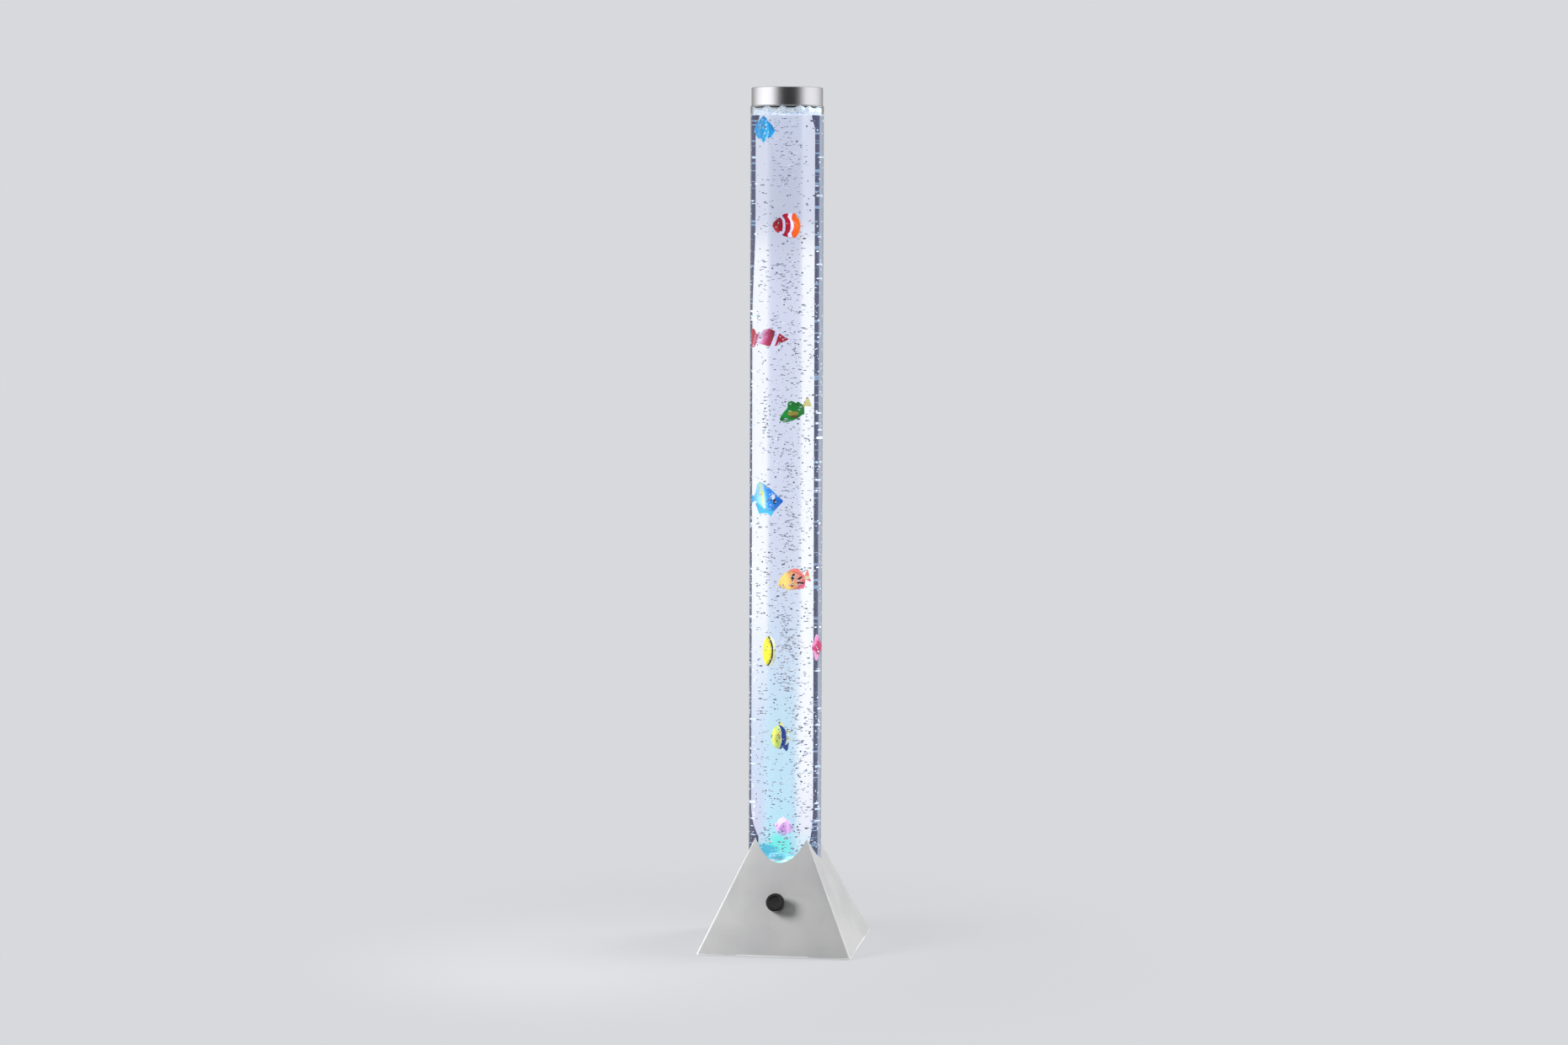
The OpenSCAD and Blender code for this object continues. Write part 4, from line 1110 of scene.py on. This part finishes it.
@dataclass(frozen=True)
class Fish:
    """One floating fish. Its place and size are those of the CAD node that it stands for.

    across and deep are its place as shares of the tube's bore, z is its height in millimetres, and length,
    height and thick are its sizes as shares of the unit. top and low are its upper and lower edges seen from
    the side, as points of (share of the length from the nose, share of half the height). core is how high
    its thick middle is, as a share of half the height. turn turns all the fish to the camera's way.
    """

    name: str
    across: float
    deep: float
    z: float
    length: float
    height: float
    thick: float
    heading: float
    tilt: float
    paint: Paint
    top: Pairs
    low: Pairs
    core: float = 0.7
    core_end: float = 0.85
    tail_bow: float = 0.0
    scallops: int = 0
    eye: Triple = (0.16, 0.12, 0.05)
    side_fin: float = 0.0
    turn: float = 8.5
    bore: float = 47.0 * MM
    unit: float = 44.0 * MM
    rows: int = 56
    columns: int = 40

    @staticmethod
    def line(points: Pairs, s: np.ndarray) -> np.ndarray:
        """Gives a line through points, with its corners rounded by a running mean over five steps."""
        fine = np.linspace(-0.06, 1.06, 225)
        return np.interp(s, fine[2:-2], np.convolve(np.interp(fine, *zip(*points)), np.ones(5) / 5, "valid"))

    @staticmethod
    def plain(part: Part, out: np.ndarray, along: float = 0.0, fin: float = 0.0) -> dict[str, np.ndarray]:
        """Gives the named values of a piece that the pattern leaves alone."""
        return {"along": along, "side": 0.0, "high": 0.0, "part": part.value, "out": out, "fin": fin}

    def thickness(self, s: np.ndarray, z: np.ndarray, h: float, t: float) -> np.ndarray:
        """Gives half the thickness of the thick middle.

        Args:
            s: The share of the length.
            z: The height.
            h: The fish's height.
            t: Its thickness.

        Returns:
            An ellipse over the height, whose size along the length is a sine with its crest at 0.42.
        """
        share = np.clip(s / self.core_end, 0, 1) ** 0.85
        full = np.clip(np.sin(np.pi * share), 0, 1) ** 1.1
        reach = np.maximum(full * self.core * h / 2, 1e-6)
        return 0.5 * t * full * np.sqrt(np.clip(1 - (z / reach) ** 2, 0, 1))

    def skin(self, l: float, h: float, t: float) -> Surface:
        """Makes the skin.

        At each share of the length its section is closed by an angle: the height is the middle of the two
        edges plus half their distance times the sine. The thickness is the fuller of the thick middle and of
        a thin fin that ends at the edges.

        Args:
            l: The fish's length.
            h: Its height.
            t: Its thickness.

        Returns:
            The surface.
        """
        s = (1 - np.cos(np.linspace(0, np.pi, self.rows))) / 2
        top, low = self.line(self.top, s) * h / 2, self.line(self.low, s) * h / 2
        top[0] = low[0] = (top[0] + low[0]) / 2
        s, top, low = s[:, None], top[:, None], low[:, None]
        angle = full_turn(self.columns)
        w = np.sin(angle)
        z = (top + low) / 2 + (top - low) / 2 * w
        thick = self.thickness(s, z, h, t)
        rib = 1 + 0.22 * np.sin(s * 70)
        thin = 0.055 * t * rib * np.sqrt(np.clip(1 - w ** 2, 0, 1)) * np.clip(4 * (1 - s), 0, 1) ** 0.5
        y = np.sign(np.cos(angle)) * (thick ** 3 + thin ** 3) ** (1 / 3)
        y[:, np.abs(np.cos(angle)) < 1e-9] = 0
        y[0] = y[-1] = 0
        rear = np.clip((s - 0.7) / 0.3, 0, 1) ** 2
        wave = 0.03 * np.abs(np.sin(w * np.pi * self.scallops / 2))
        x = l / 2 - l * (s - rear * (self.tail_bow * w ** 2 + wave))
        fin = np.clip((thin / np.maximum(thick, 1e-7) - 0.7) / 0.6, 0, 1)
        return sheet_of(np.stack([x, y, z], axis=2), values={
            "along": s, "side": y / (t / 2), "high": z / (h / 2), "part": Part.SKIN.value, "out": np.abs(w),
            "fin": fin}).flipped()

    def wings(self, l: float, h: float, t: float) -> list[Surface]:
        """Makes the fins on both sides: thin leaves that stand out from the flank and lean to the rear.

        At share a of its reach a leaf is an ellipse whose half height goes with (1 - a^1.6)^0.8.

        Args:
            l: The fish's length.
            h: Its height.
            t: Its thickness.

        Returns:
            The right leaf and the left one.
        """
        a = np.linspace(0, 1, 13)[:, None]
        loop = full_turn(12)
        reach = t / 2 * (0.75 + (self.side_fin + 0.25) * a)
        half = (0.16 + 0.2 * self.side_fin) * h * (1 - a ** 1.6) ** 0.8 + 1e-5
        z = half * np.sin(loop) - 0.04 * h
        x = l * (0.12 - 0.16 * a) + 0.028 * l * (1 - a) * np.cos(loop) + 0.06 * l * np.sin(loop)
        values = self.plain(Part.SIDE_FIN, 0.5 * a, 0.45, 1.0)
        right, left = (sheet_of(np.stack(np.broadcast_arrays(x, y, z), axis=2), values=values)
                       for y in (-reach, reach))
        return [right, left.flipped()]

    def eyes(self, l: float, h: float, t: float) -> list[Surface]:
        """Makes an eye on each side: a low dome on the skin, whose rise over its radius is an ellipse.

        Args:
            l: The fish's length.
            h: Its height.
            t: Its thickness.

        Returns:
            The right eye and the left one.
        """
        s, high, size = self.eye[0], self.eye[1] * h / 2, self.eye[2] * l
        level = float(self.thickness(np.array(s), np.array(high), h, t))
        ring = np.linspace(0, 1, 7)[:, None]
        rise = level + (np.sqrt(np.clip(1 - (0.95 * ring) ** 2, 0, 1)) * 0.6 - 0.3) * size
        flat = round_axis(size * ring, full_turn(16), rise) + [l / 2 - l * s, high, 0]
        values = self.plain(Part.EYE, ring)
        right, left = (sheet_of(flat[..., [0, 2, 1]] * [1, sign, 1], values=values) for sign in (-1, 1))
        return [right.flipped(), left]

    def build(self) -> bpy.types.Object:
        """Builds the fish in its place and paints it.

        Returns:
            The object.
        """
        sizes = [v * self.unit for v in (self.length, self.height, self.thick)]
        parts = [self.skin(*sizes), *self.eyes(*sizes)]
        if self.side_fin:
            parts += self.wings(*sizes)
        turn, heading, tilt = (Matrix.Rotation(math.radians(angle), 3, axis) for angle, axis in
                               ((self.turn, "Z"), (self.heading, "Z"), (self.tilt, "Y")))
        centre = turn @ Vector((self.across * self.bore, self.deep * self.bore, self.z * MM))
        whole = joined(parts).turned(np.array(turn @ heading @ tilt), np.array(centre))
        node = f"fish_{self.name}"
        made = make(f"{self.name}_fish", whole, node, node, [node])
        made.data.materials.append(self.paint.material(f"{self.name}_paint"))
        return made


def school() -> list[Fish]:
    """Lists the ten fish from the top of the tube to its foot.

    Returns:
        The fish.
    """
    white, black, crimson = "#e2dcee", "#0e0e12", "#ac001e"
    round_top = ((0, 0), (0.06, 0.3), (0.18, 0.62), (0.32, 0.9), (0.45, 1.0), (0.6, 0.9), (0.75, 0.55),
                 (0.82, 0.25), (0.9, 0.4), (1, 0.55))
    round_low = tuple((s, -v) for s, v in round_top)
    return [
        Fish("sky", -0.53, -0.09, 1123.08, 0.91, 0.86, 0.30, 250, 0,
             Paint(((0, "#00baf0"), (0.5, "#00b0e8"), (1, "#00a0e2")), glint_dots="#bef0ff"),
             top=((0, 0), (0.12, 0.4), (0.3, 0.64), (0.4, 0.76), (0.45, 1.0), (0.5, 0.76), (0.68, 0.62),
                  (0.85, 0.4), (1, 0.1)),
             low=((0, 0), (0.12, -0.45), (0.35, -0.95), (0.42, -1.0), (0.58, -1.0), (0.7, -0.8), (0.88, -0.4),
                  (1, -0.1)),
             core=0.9, side_fin=0.8),
        Fish("ember", -0.03, 0.00, 991.92, 0.95, 0.76, 0.32, 225, 0,
             Paint(((0, "#ce0614"), (0.25, crimson), (0.265, white), (0.325, white), (0.34, crimson),
                    (0.52, crimson), (0.535, white), (0.655, white), (0.67, "#f65400"), (1, "#ee6e10")),
                   bow=-0.07, ragged=0.012),
             top=((0, 0.02), (0.1, 0.26), (0.3, 0.72), (0.45, 0.96), (0.6, 1.0), (0.85, 1.0), (0.95, 0.7),
                  (1, 0.5)),
             low=((0, -0.02), (0.1, -0.26), (0.3, -0.62), (0.45, -0.86), (0.6, -0.95), (0.85, -1.0),
                  (0.95, -0.8), (1, -0.55)), core=0.72, core_end=0.95, scallops=5, tail_bow=0.06,
             eye=(0.15, 0.2, 0.035)),
        Fish("coral", -0.41, 0.00, 837.56, 0.98, 0.66, 0.30, 0, 0,
             Paint(((0, crimson), (0.275, "#b40a28"), (0.285, "#e23c5a"), (0.3, white), (0.385, white),
                    (0.4, "#8c002c"), (0.5, "#aa063e"), (0.6, "#d65a8c"), (0.74, "#eadeee"), (0.8, "#d63c5a"),
                    (0.88, "#e696aa"), (0.9, "#cd182c"), (1, "#d2283c")), slant=0.09,
                   marks=(Mark((0.14, 0.0), (0.022, 0.022), 0, white),
                          Mark((0.19, -0.35), (0.02, 0.02), 0, white),
                          Mark((0.21, 0.25), (0.018, 0.018), 0, white))),
             top=((0, 0), (0.12, 0.3), (0.28, 0.66), (0.45, 1.0), (0.6, 0.9), (0.72, 0.5), (0.8, 0.5),
                  (0.86, 0.95), (1, 1.0)),
             low=((0, 0), (0.1, -0.22), (0.3, -0.62), (0.5, -0.66), (0.72, -0.4), (0.8, -0.4), (0.86, -0.75),
                  (1, -0.8)), core=0.7, eye=(0.1, 0.12, 0.03)),
        Fish("leaf", 0.19, 0.00, 740.80, 0.84, 0.62, 0.30, 180, 16,
             Paint(((0, "#005a14"), (0.12, "#0a8228"), (0.55, "#008024"), (0.76, "#007828"),
                    (0.79, "#dece6e"), (1, "#e8da8c")),
                   marks=(Mark((0.42, -0.28), (0.16, 0.1), -0.3, "#968832"),
                          Mark((0.42, -0.6), (0.11, 0.06), -0.3, "#604210"),
                          Mark((0.36, 0.02), (0.05, 0.028), -0.4, "#c4c482"))),
             top=((0, -0.55), (0.07, -0.25), (0.2, 0.1), (0.32, 0.36), (0.38, 0.86), (0.48, 1.0),
                  (0.56, 0.84), (0.6, 0.62), (0.64, 0.76), (0.7, 0.66), (0.76, 0.34), (0.82, 0.5),
                  (0.94, 0.96), (1, 1.0)),
             low=((0, -0.75), (0.07, -1.0), (0.3, -1.0), (0.5, -0.84), (0.64, -0.62), (0.72, -0.6),
                  (0.78, 0.04), (0.82, 0.2), (0.9, 0.06), (1, 0.0)), core=0.75, core_end=0.8,
             eye=(0.1, -0.4, 0.028)),
        Fish("azure", -0.45, 0.00, 618.28, 0.82, 1.10, 0.30, 0, 0,
             Paint(((0, "#085abe"), (0.3, "#1482dc"), (0.44, "#108ce2"), (0.52, "#5abaec"), (0.57, "#c4e2f0"),
                    (0.62, "#d6dc96"), (0.68, "#a0d6e2"), (0.8, "#6ec8e2"), (1, "#1496d6")),
                   slant=-0.05, lower_fin="#3cbee2", edge="#78c8ec",
                   marks=(Mark((0.3, 0.16), (0.06, 0.07), 0, "#e2ecf6"),
                          Mark((0.25, -0.1), (0.05, 0.07), 0, "#000a32"),
                          Mark((0.36, -0.02), (0.02, 0.04), 0, "#1e3c78"),
                          Mark((0.33, 0.36), (0.018, 0.018), 0, "#cee2f4"),
                          Mark((0.41, 0.3), (0.018, 0.018), 0, "#cee2f4"),
                          Mark((0.62, 0.3), (0.03, 0.08), 0.3, "#e8d85a"))),
             top=((0, -0.05), (0.15, 0.22), (0.35, 0.6), (0.52, 0.86), (0.7, 1.0), (0.78, 0.8), (0.84, 0.3),
                  (0.9, 0.16), (1, 0.3)),
             low=((0, -0.12), (0.12, -0.38), (0.27, -0.72), (0.35, -0.98), (0.45, -0.8), (0.6, -0.8),
                  (0.7, -0.86), (0.8, -0.4), (0.88, -0.1), (1, -0.3)),
             core=0.62, eye=(0.24, -0.12, 0.04)),
        Fish("amber", 0.18, 0.00, 508.03, 0.78, 0.70, 0.32, 180, 12,
             Paint(((0, "#deb454"), (0.3, "#f6cc6e"), (0.45, "#fab46e"), (0.6, "#fc9c78"), (0.8, "#fa8c82"),
                    (0.88, "#f0deaa"), (1, "#ece8b4")), upper_fin="#fa8270",
                   lower_fin="#f66e88", ragged=0.03,
                   marks=(Mark((0.5, 0.26), (0.15, 0.05), 1.15, black),
                          Mark((0.68, 0.04), (0.12, 0.04), 0.55, black),
                          Mark((0.68, -0.36), (0.12, 0.04), -0.35, black),
                          Mark((0.4, -0.5), (0.055, 0.04), 0, "#be320e"))),
             top=((0, -0.2), (0.05, 0.1), (0.15, 0.45), (0.3, 0.74), (0.45, 0.92), (0.6, 1.0), (0.72, 0.9),
                  (0.8, 0.5), (0.85, 0.16), (0.92, 0.5), (1, 0.66)),
             low=((0, -0.3), (0.1, -0.6), (0.3, -0.84), (0.5, -0.88), (0.62, -0.84), (0.7, -0.95),
                  (0.78, -0.7), (0.85, -0.12), (0.92, -0.3), (1, -0.45)), core=0.85, core_end=0.86,
             eye=(0.14, -0.28, 0.04)),
        Fish("lemon", -0.37, 0.00, 409.53, 0.86, 1.00, 0.34, 270, 0,
             Paint(((0, "#d4c41e"), (0.3, "#eed61e"), (0.58, "#f0d828"), (0.6, "#002806"), (0.72, "#003c10"),
                    (0.74, "#f4f0c8"), (0.9, "#f0ecbe"), (1, "#e8e8c8")), start=0.5, along=0.0, side=0.5,
                   slant=-0.04, bow=0.3, upper_fin="#dece3c", lower_fin="#3c6e28",
                   marks=(Mark((0.42, -0.16), (0.03, 0.03), 0, "#be8c14"),)),
             top=((0, 0), (0.1, 0.4), (0.25, 0.72), (0.42, 0.95), (0.5, 1.0), (0.6, 0.92), (0.8, 0.4),
                  (1, 0.5)),
             low=((0, 0), (0.1, -0.4), (0.25, -0.72), (0.42, -0.95), (0.5, -1.0), (0.6, -0.9), (0.8, -0.4),
                  (1, -0.5)), core=0.95, eye=(0.2, 0.1, 0.05)),
        Fish("rose", 0.70, 0.00, 413.74, 0.77, 0.84, 0.25, 90, 0,
             Paint(((0, "#be145a"), (0.5, "#be0a50"), (1, "#c8286e")),
                   upper_fin="#e882b0", lower_fin="#e296ba", edge="#ecaacd"),
             top=round_top, low=round_low, core=0.52),
        Fish("night", -0.10, 0.00, 290.91, 0.86, 0.97, 0.36, 245, 0,
             Paint(((0, "#c4be46"), (0.2, "#d8d85a"), (0.38, "#c8d664"), (0.52, "#d8e2a0"), (0.55, "#00327e"),
                    (0.75, "#002874"), (0.78, "#b4d8e8"), (1, "#c8e2ec")), start=0.167, along=0.667, side=0.3,
                   bow=0.2, ragged=0.05, upper_fin="#d6c85a", lower_fin="#083074",
                   marks=(Mark((0.36, 0.2), (0.07, 0.02), 0.5, "#ce5c1e"),
                          Mark((0.42, -0.02), (0.06, 0.02), -0.5, "#aa3c14"),
                          Mark((0.3, -0.2), (0.05, 0.016), 0.8, "#96461e"),
                          Mark((0.46, 0.35), (0.03, 0.02), 0, "#c45a28"))),
             top=((0, 0), (0.08, 0.3), (0.2, 0.58), (0.35, 0.7), (0.45, 0.95), (0.55, 1.0), (0.65, 0.7),
                  (0.8, 0.3), (0.9, 0.3), (1, 0.45)),
             low=((0, 0), (0.08, -0.3), (0.2, -0.58), (0.4, -0.78), (0.6, -0.7), (0.72, -0.8), (0.85, -1.0),
                  (0.95, -0.9), (1, -0.5)), core=0.78, side_fin=0.25),
        Fish("lilac", -0.02, 0.00, 166.64, 0.77, 0.69, 0.32, 250, 0,
             Paint(((0, "#ecb8e8"), (0.35, "#e6a0de"), (0.7, "#eaaae2"),
                    (1, "#e6b8e8")), start=0.167, along=0.667, side=0.3,
                   upper_fin="#ecceee", edge="#ecd2f0"),
             top=((0, 0.05), (0.1, 0.36), (0.3, 0.62), (0.4, 1.0), (0.46, 0.86), (0.62, 0.5), (0.8, 0.3),
                  (1, 0.3)),
             low=((0, -0.05), (0.1, -0.4), (0.3, -0.8), (0.45, -0.95), (0.62, -0.85), (0.8, -0.4), (1, -0.5)),
             core=0.85, side_fin=0.5),
    ]


# Finishes of the other nodes


def finishes() -> dict[str, Solid | ClearSolid | LitWater]:
    """Gives the finish of each of the record's slots, apart from the fish."""
    return {
        "clear_acrylic": ClearSolid("acrylic", (0.96, 0.98, 1.0)),
        # painted light: the acrylic floor glows teal, standing for the lamp's light passing through it
        "clear_floor": ClearSolid("acrylic_floor", (0.8, 0.95, 1.0), glow="#2896aa"),
        "water": LitWater(),
        "stone": Solid("air_stone", "#60b0c4", "#aaecf2", (0.8, 0.95), cloud=260, depth=0.6),
        "white_moulding": Solid("white_moulding", "#dededc", "#ececea", (0.35, 0.5)),
        "black_rubber": Solid("rubber", "#18181a", "#242426", (0.7, 0.85), depth=0.2),
        "brushed_silver": Solid("turned_silver", "#ececee", "#f6f6f8", (0.22, 0.27), 1.0,
                                12, (25.0, 25.0, 4500.0), 0.05, run=True),
        # the silver paint's edge colour is a painted highlight on the rounded corners and the bottom rim
        "silver_paint": Solid("silver_paint", "#c0c0c1", "#cdcdcc", (0.46, 0.56), 0.06, 14,
                              (2600.0, 2600.0, 2600.0), 0.08, edge="#f4f4f4"),
        "zinc_steel": Solid("zinc", "#96989c", "#bcbec2", (0.28, 0.42), 1.0, 90, (900.0, 900.0, 900.0), 0.05),
        "black_moulding": Solid("black_moulding", "#222224", "#2c2c2e", (0.5, 0.62), depth=0.2),
        "knob_black": Solid("glossy_black", "#060607", "#0a0a0b", (0.2, 0.28), depth=0.03, coat=0.4),
        "bare_aluminium": Solid("aluminium", "#babcbe", "#d0d2d4", (0.25, 0.38), 1.0, 60,
                                (200.0, 200.0, 3000.0), 0.1),
        "board_green": Solid("solder_mask", "#105c30", "#18703c", (0.25, 0.35), cloud=60),
        "lamp_white": Solid("lens", "#f0f0e1", "#fffcf0", (0.2, 0.3), glow=1.5),
        "board_pieces": Solid("component", "#242428", "#3c3c40", (0.4, 0.55), cloud=90),
        "copper_coil": Solid("copper_wire", "#965428", "#c4743e", (0.3, 0.42), 0.8, 60,
                             (300.0, 300.0, 4000.0), 0.4),
        "core_steel": Solid("laminated_steel", "#545458", "#78787c", (0.35, 0.5), 0.9, 60,
                            (100.0, 100.0, 2500.0), 0.4),
        "clear_hose": Solid("silicone", "#c8d2d4", "#dee6e8", (0.25, 0.35), cloud=30),
        "lead_red": Solid("red_lead", "#961a18", "#ac221e", (0.4, 0.5)),
        "lead_cream": Solid("cream_lead", "#d6cca8", "#e2daba", (0.4, 0.5)),
    }


def dress(pieces: list[bpy.types.Object]) -> None:
    """Gives every piece and every CAD node that shows its finish.

    Args:
        pieces: The new pieces, apart from the fish.
    """
    made = {slot: finish.material() for slot, finish in finishes().items()}
    for name, node in frame["nodes"].items():
        slot = node.data.materials[0].name.split(".")[0] if node.data.materials else ""
        LOG.info("node %s wears %s", name, slot)
        if slot in made:
            for i in range(len(node.data.materials)):
                node.data.materials[i] = made[slot]
    for piece in pieces:
        piece.data.materials.append(Foam().material() if piece.name == "froth" else made[piece["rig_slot"]])


# Studio


@dataclass
class Studio:
    """The camera, the pale floor and room, and soft lamps.

    room gives the tone that metal mirrors, from straight behind the camera at 0 to straight ahead at 1.
    """

    place: Triple = (0.696107, -4.648877, 0.942303)
    forward: Triple = (-0.14822598, 0.98605741, -0.07562963)
    upward: Triple = (-0.01425763, 0.07433575, 0.99713134)
    lens: float = 78.66
    sensor: float = 36.0
    pale: Colour = "#d8d9dc"
    room: Pairs = (
        (0.0, 0.035), (0.02, 0.045), (0.06, 0.12), (0.11, 0.36), (0.17, 0.72), (0.25, 1.0), (0.34, 1.0),
        (0.5, 1.0), (0.66, 0.85), (0.8, 0.6), (0.9, 0.36), (1.0, 0.3))
    floor_rings: tuple[float, ...] = (40.0, 12.0, 5.0, 2.0, 0.5, 0.001)
    bounces: int = 28

    def camera(self) -> None:
        """Makes the camera that stands where the photograph was taken."""
        data = bpy.data.cameras.new("camera")
        data.lens, data.sensor_width, data.sensor_fit = self.lens, self.sensor, "HORIZONTAL"
        data.clip_start, data.clip_end = 0.05, 100
        forward, upward = Vector(self.forward).normalized(), Vector(self.upward).normalized()
        turn = Matrix((forward.cross(upward), upward, -forward)).transposed().to_4x4()
        eye = stand("camera", data)
        eye.matrix_world = Matrix.Translation(self.place) @ turn
        bpy.context.scene.camera = eye

    def mirrored(self, w: Wires, x: Value, y: Value, flat: object) -> Value:
        """Gives the room's tone that metal mirrors: dark behind the camera, bright at both sides.

        Args:
            w: The wires of the tree.
            x: The way's part along X.
            y: The way's part along Y.
            flat: The length of both together.

        Returns:
            The tone.
        """
        ahead = (x * -0.245 + y * 0.969) / flat
        tones = w.ramp(ahead * 0.5 + 0.5, tuple((place, (v, v, v * 1.02)) for place, v in self.room))
        return w.mix(1.0, tones, x / flat * -0.14 + 1.06, "MULTIPLY")

    def world(self) -> None:
        """Makes the room: pale where it is seen, and darker behind the camera where metal mirrors it."""
        world = bpy.data.worlds.new("room")
        world.use_nodes = True
        world.node_tree.nodes.clear()
        w = Wires(world.node_tree)
        x, y, z = w.axes(w.value("TexCoord", output="Generated"))
        flat = w.sum("MAXIMUM", w.sum("SQRT", x * x + y * y), 0.001)
        mirror = w.mix(z.step(0.35, 0.75), self.mirrored(w, x, y, flat), (0.6, 0.6, 0.61))
        path = w.node("LightPath").outputs
        colour = w.mix(path["Is Glossy Ray"], (0.1, 0.1, 0.102), mirror)
        seen = w.sum("MAXIMUM", path["Is Camera Ray"], path["Is Transmission Ray"])
        back = w.node("Background", {0: w.mix(seen, colour, self.pale), 1: 1.0})
        w.node("OutputWorld", {0: back.outputs[0]})
        bpy.context.scene.world = world

    def floor(self) -> None:
        """Makes a wide floor that takes the object's shadow and fades into the room."""
        ring = turned_profile(np.array([(r, 0.0) for r in self.floor_rings]), 64)
        mesh = bpy.data.meshes.new("floor")
        mesh.from_pydata(ring.points.tolist(), [], ring.quads.tolist())
        made, w = new_material("floor")
        cloud = w.effect("cloud", {"Dark": "#d6d7da", "Light": "#d9dadd", "Scale": 3.0})
        matt = w.node("BsdfPrincipled", {"Base Color": cloud["Color"], "Roughness": 0.8,
                                         "Specular IOR Level": 0.2})
        away = w.vector("LENGTH", w.place(), output="Value")
        x, y, _ = w.axes(w.vector("NORMALIZE", w.place()))
        path = w.node("LightPath").outputs
        glow = w.mix(path["Is Glossy Ray"], self.pale, self.mirrored(w, x, y, 1.0))
        plain = w.node("Emission", {0: glow, 1: 1.0})
        seen = w.sum("MAXIMUM", path["Is Camera Ray"], path["Is Glossy Ray"])
        share = seen * away.step(0.15, 0.75, 0.76, 1.0)
        both = w.node("MixShader", {0: share, 1: matt.outputs[0], 2: plain.outputs[0]})
        w.node("OutputMaterial", {0: both.outputs[0]})
        mesh.materials.append(made)
        floor = stand("floor", mesh)

    def lamp(self, name: str, place: Triple, size: float, power: float) -> None:
        """Makes one square soft lamp that looks at the object's lower part.

        Args:
            name: Its name.
            place: Where it hangs.
            size: Its width.
            power: Its power in watts.
        """
        data = bpy.data.lights.new(name, "AREA")
        data.shape, data.size, data.energy = "SQUARE", size, power
        made = stand(name, data)
        away = Vector((0, 0, 0.2)) - Vector(place)
        made.matrix_world = Matrix.Translation(place) @ away.to_track_quat("-Z", "Y").to_matrix().to_4x4()
        made.visible_glossy = made.visible_transmission = False

    def build(self) -> None:
        """Builds the whole studio."""
        self.camera()
        self.world()
        self.floor()
        self.lamp("key", (-0.55, -0.42, 0.46), 0.32, 5.9)
        self.lamp("side", (2.6, 1.15, 1.5), 1.5, 106)
        scene = bpy.context.scene
        scene.view_settings.view_transform = "Standard"
        for limit in ("max_bounces", "transmission_bounces", "transparent_max_bounces"):
            setattr(scene.cycles, limit, self.bounces)


def give_way() -> None:
    """Gives the pump's bellows a mesh of their own."""
    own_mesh(frame["nodes"]["pump_bellows"])


def corners(box: object) -> list[list[float]]:
    """Gives a box's two corners as plain lists."""
    return [[float(v) for v in corner] for corner in box]


def main() -> None:
    """Builds the lamp's looks round the frame."""
    logging.basicConfig(level=logging.INFO, format="%(name)s: %(message)s")
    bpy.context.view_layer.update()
    make_effects()
    Studio().build()
    pieces = [*Tube().build(), Cap().build(), Base().build(), Knob().build()]
    for fish in school():
        fish.build()
    dress(pieces)
    give_way()


if __name__ == "__main__":
    main()
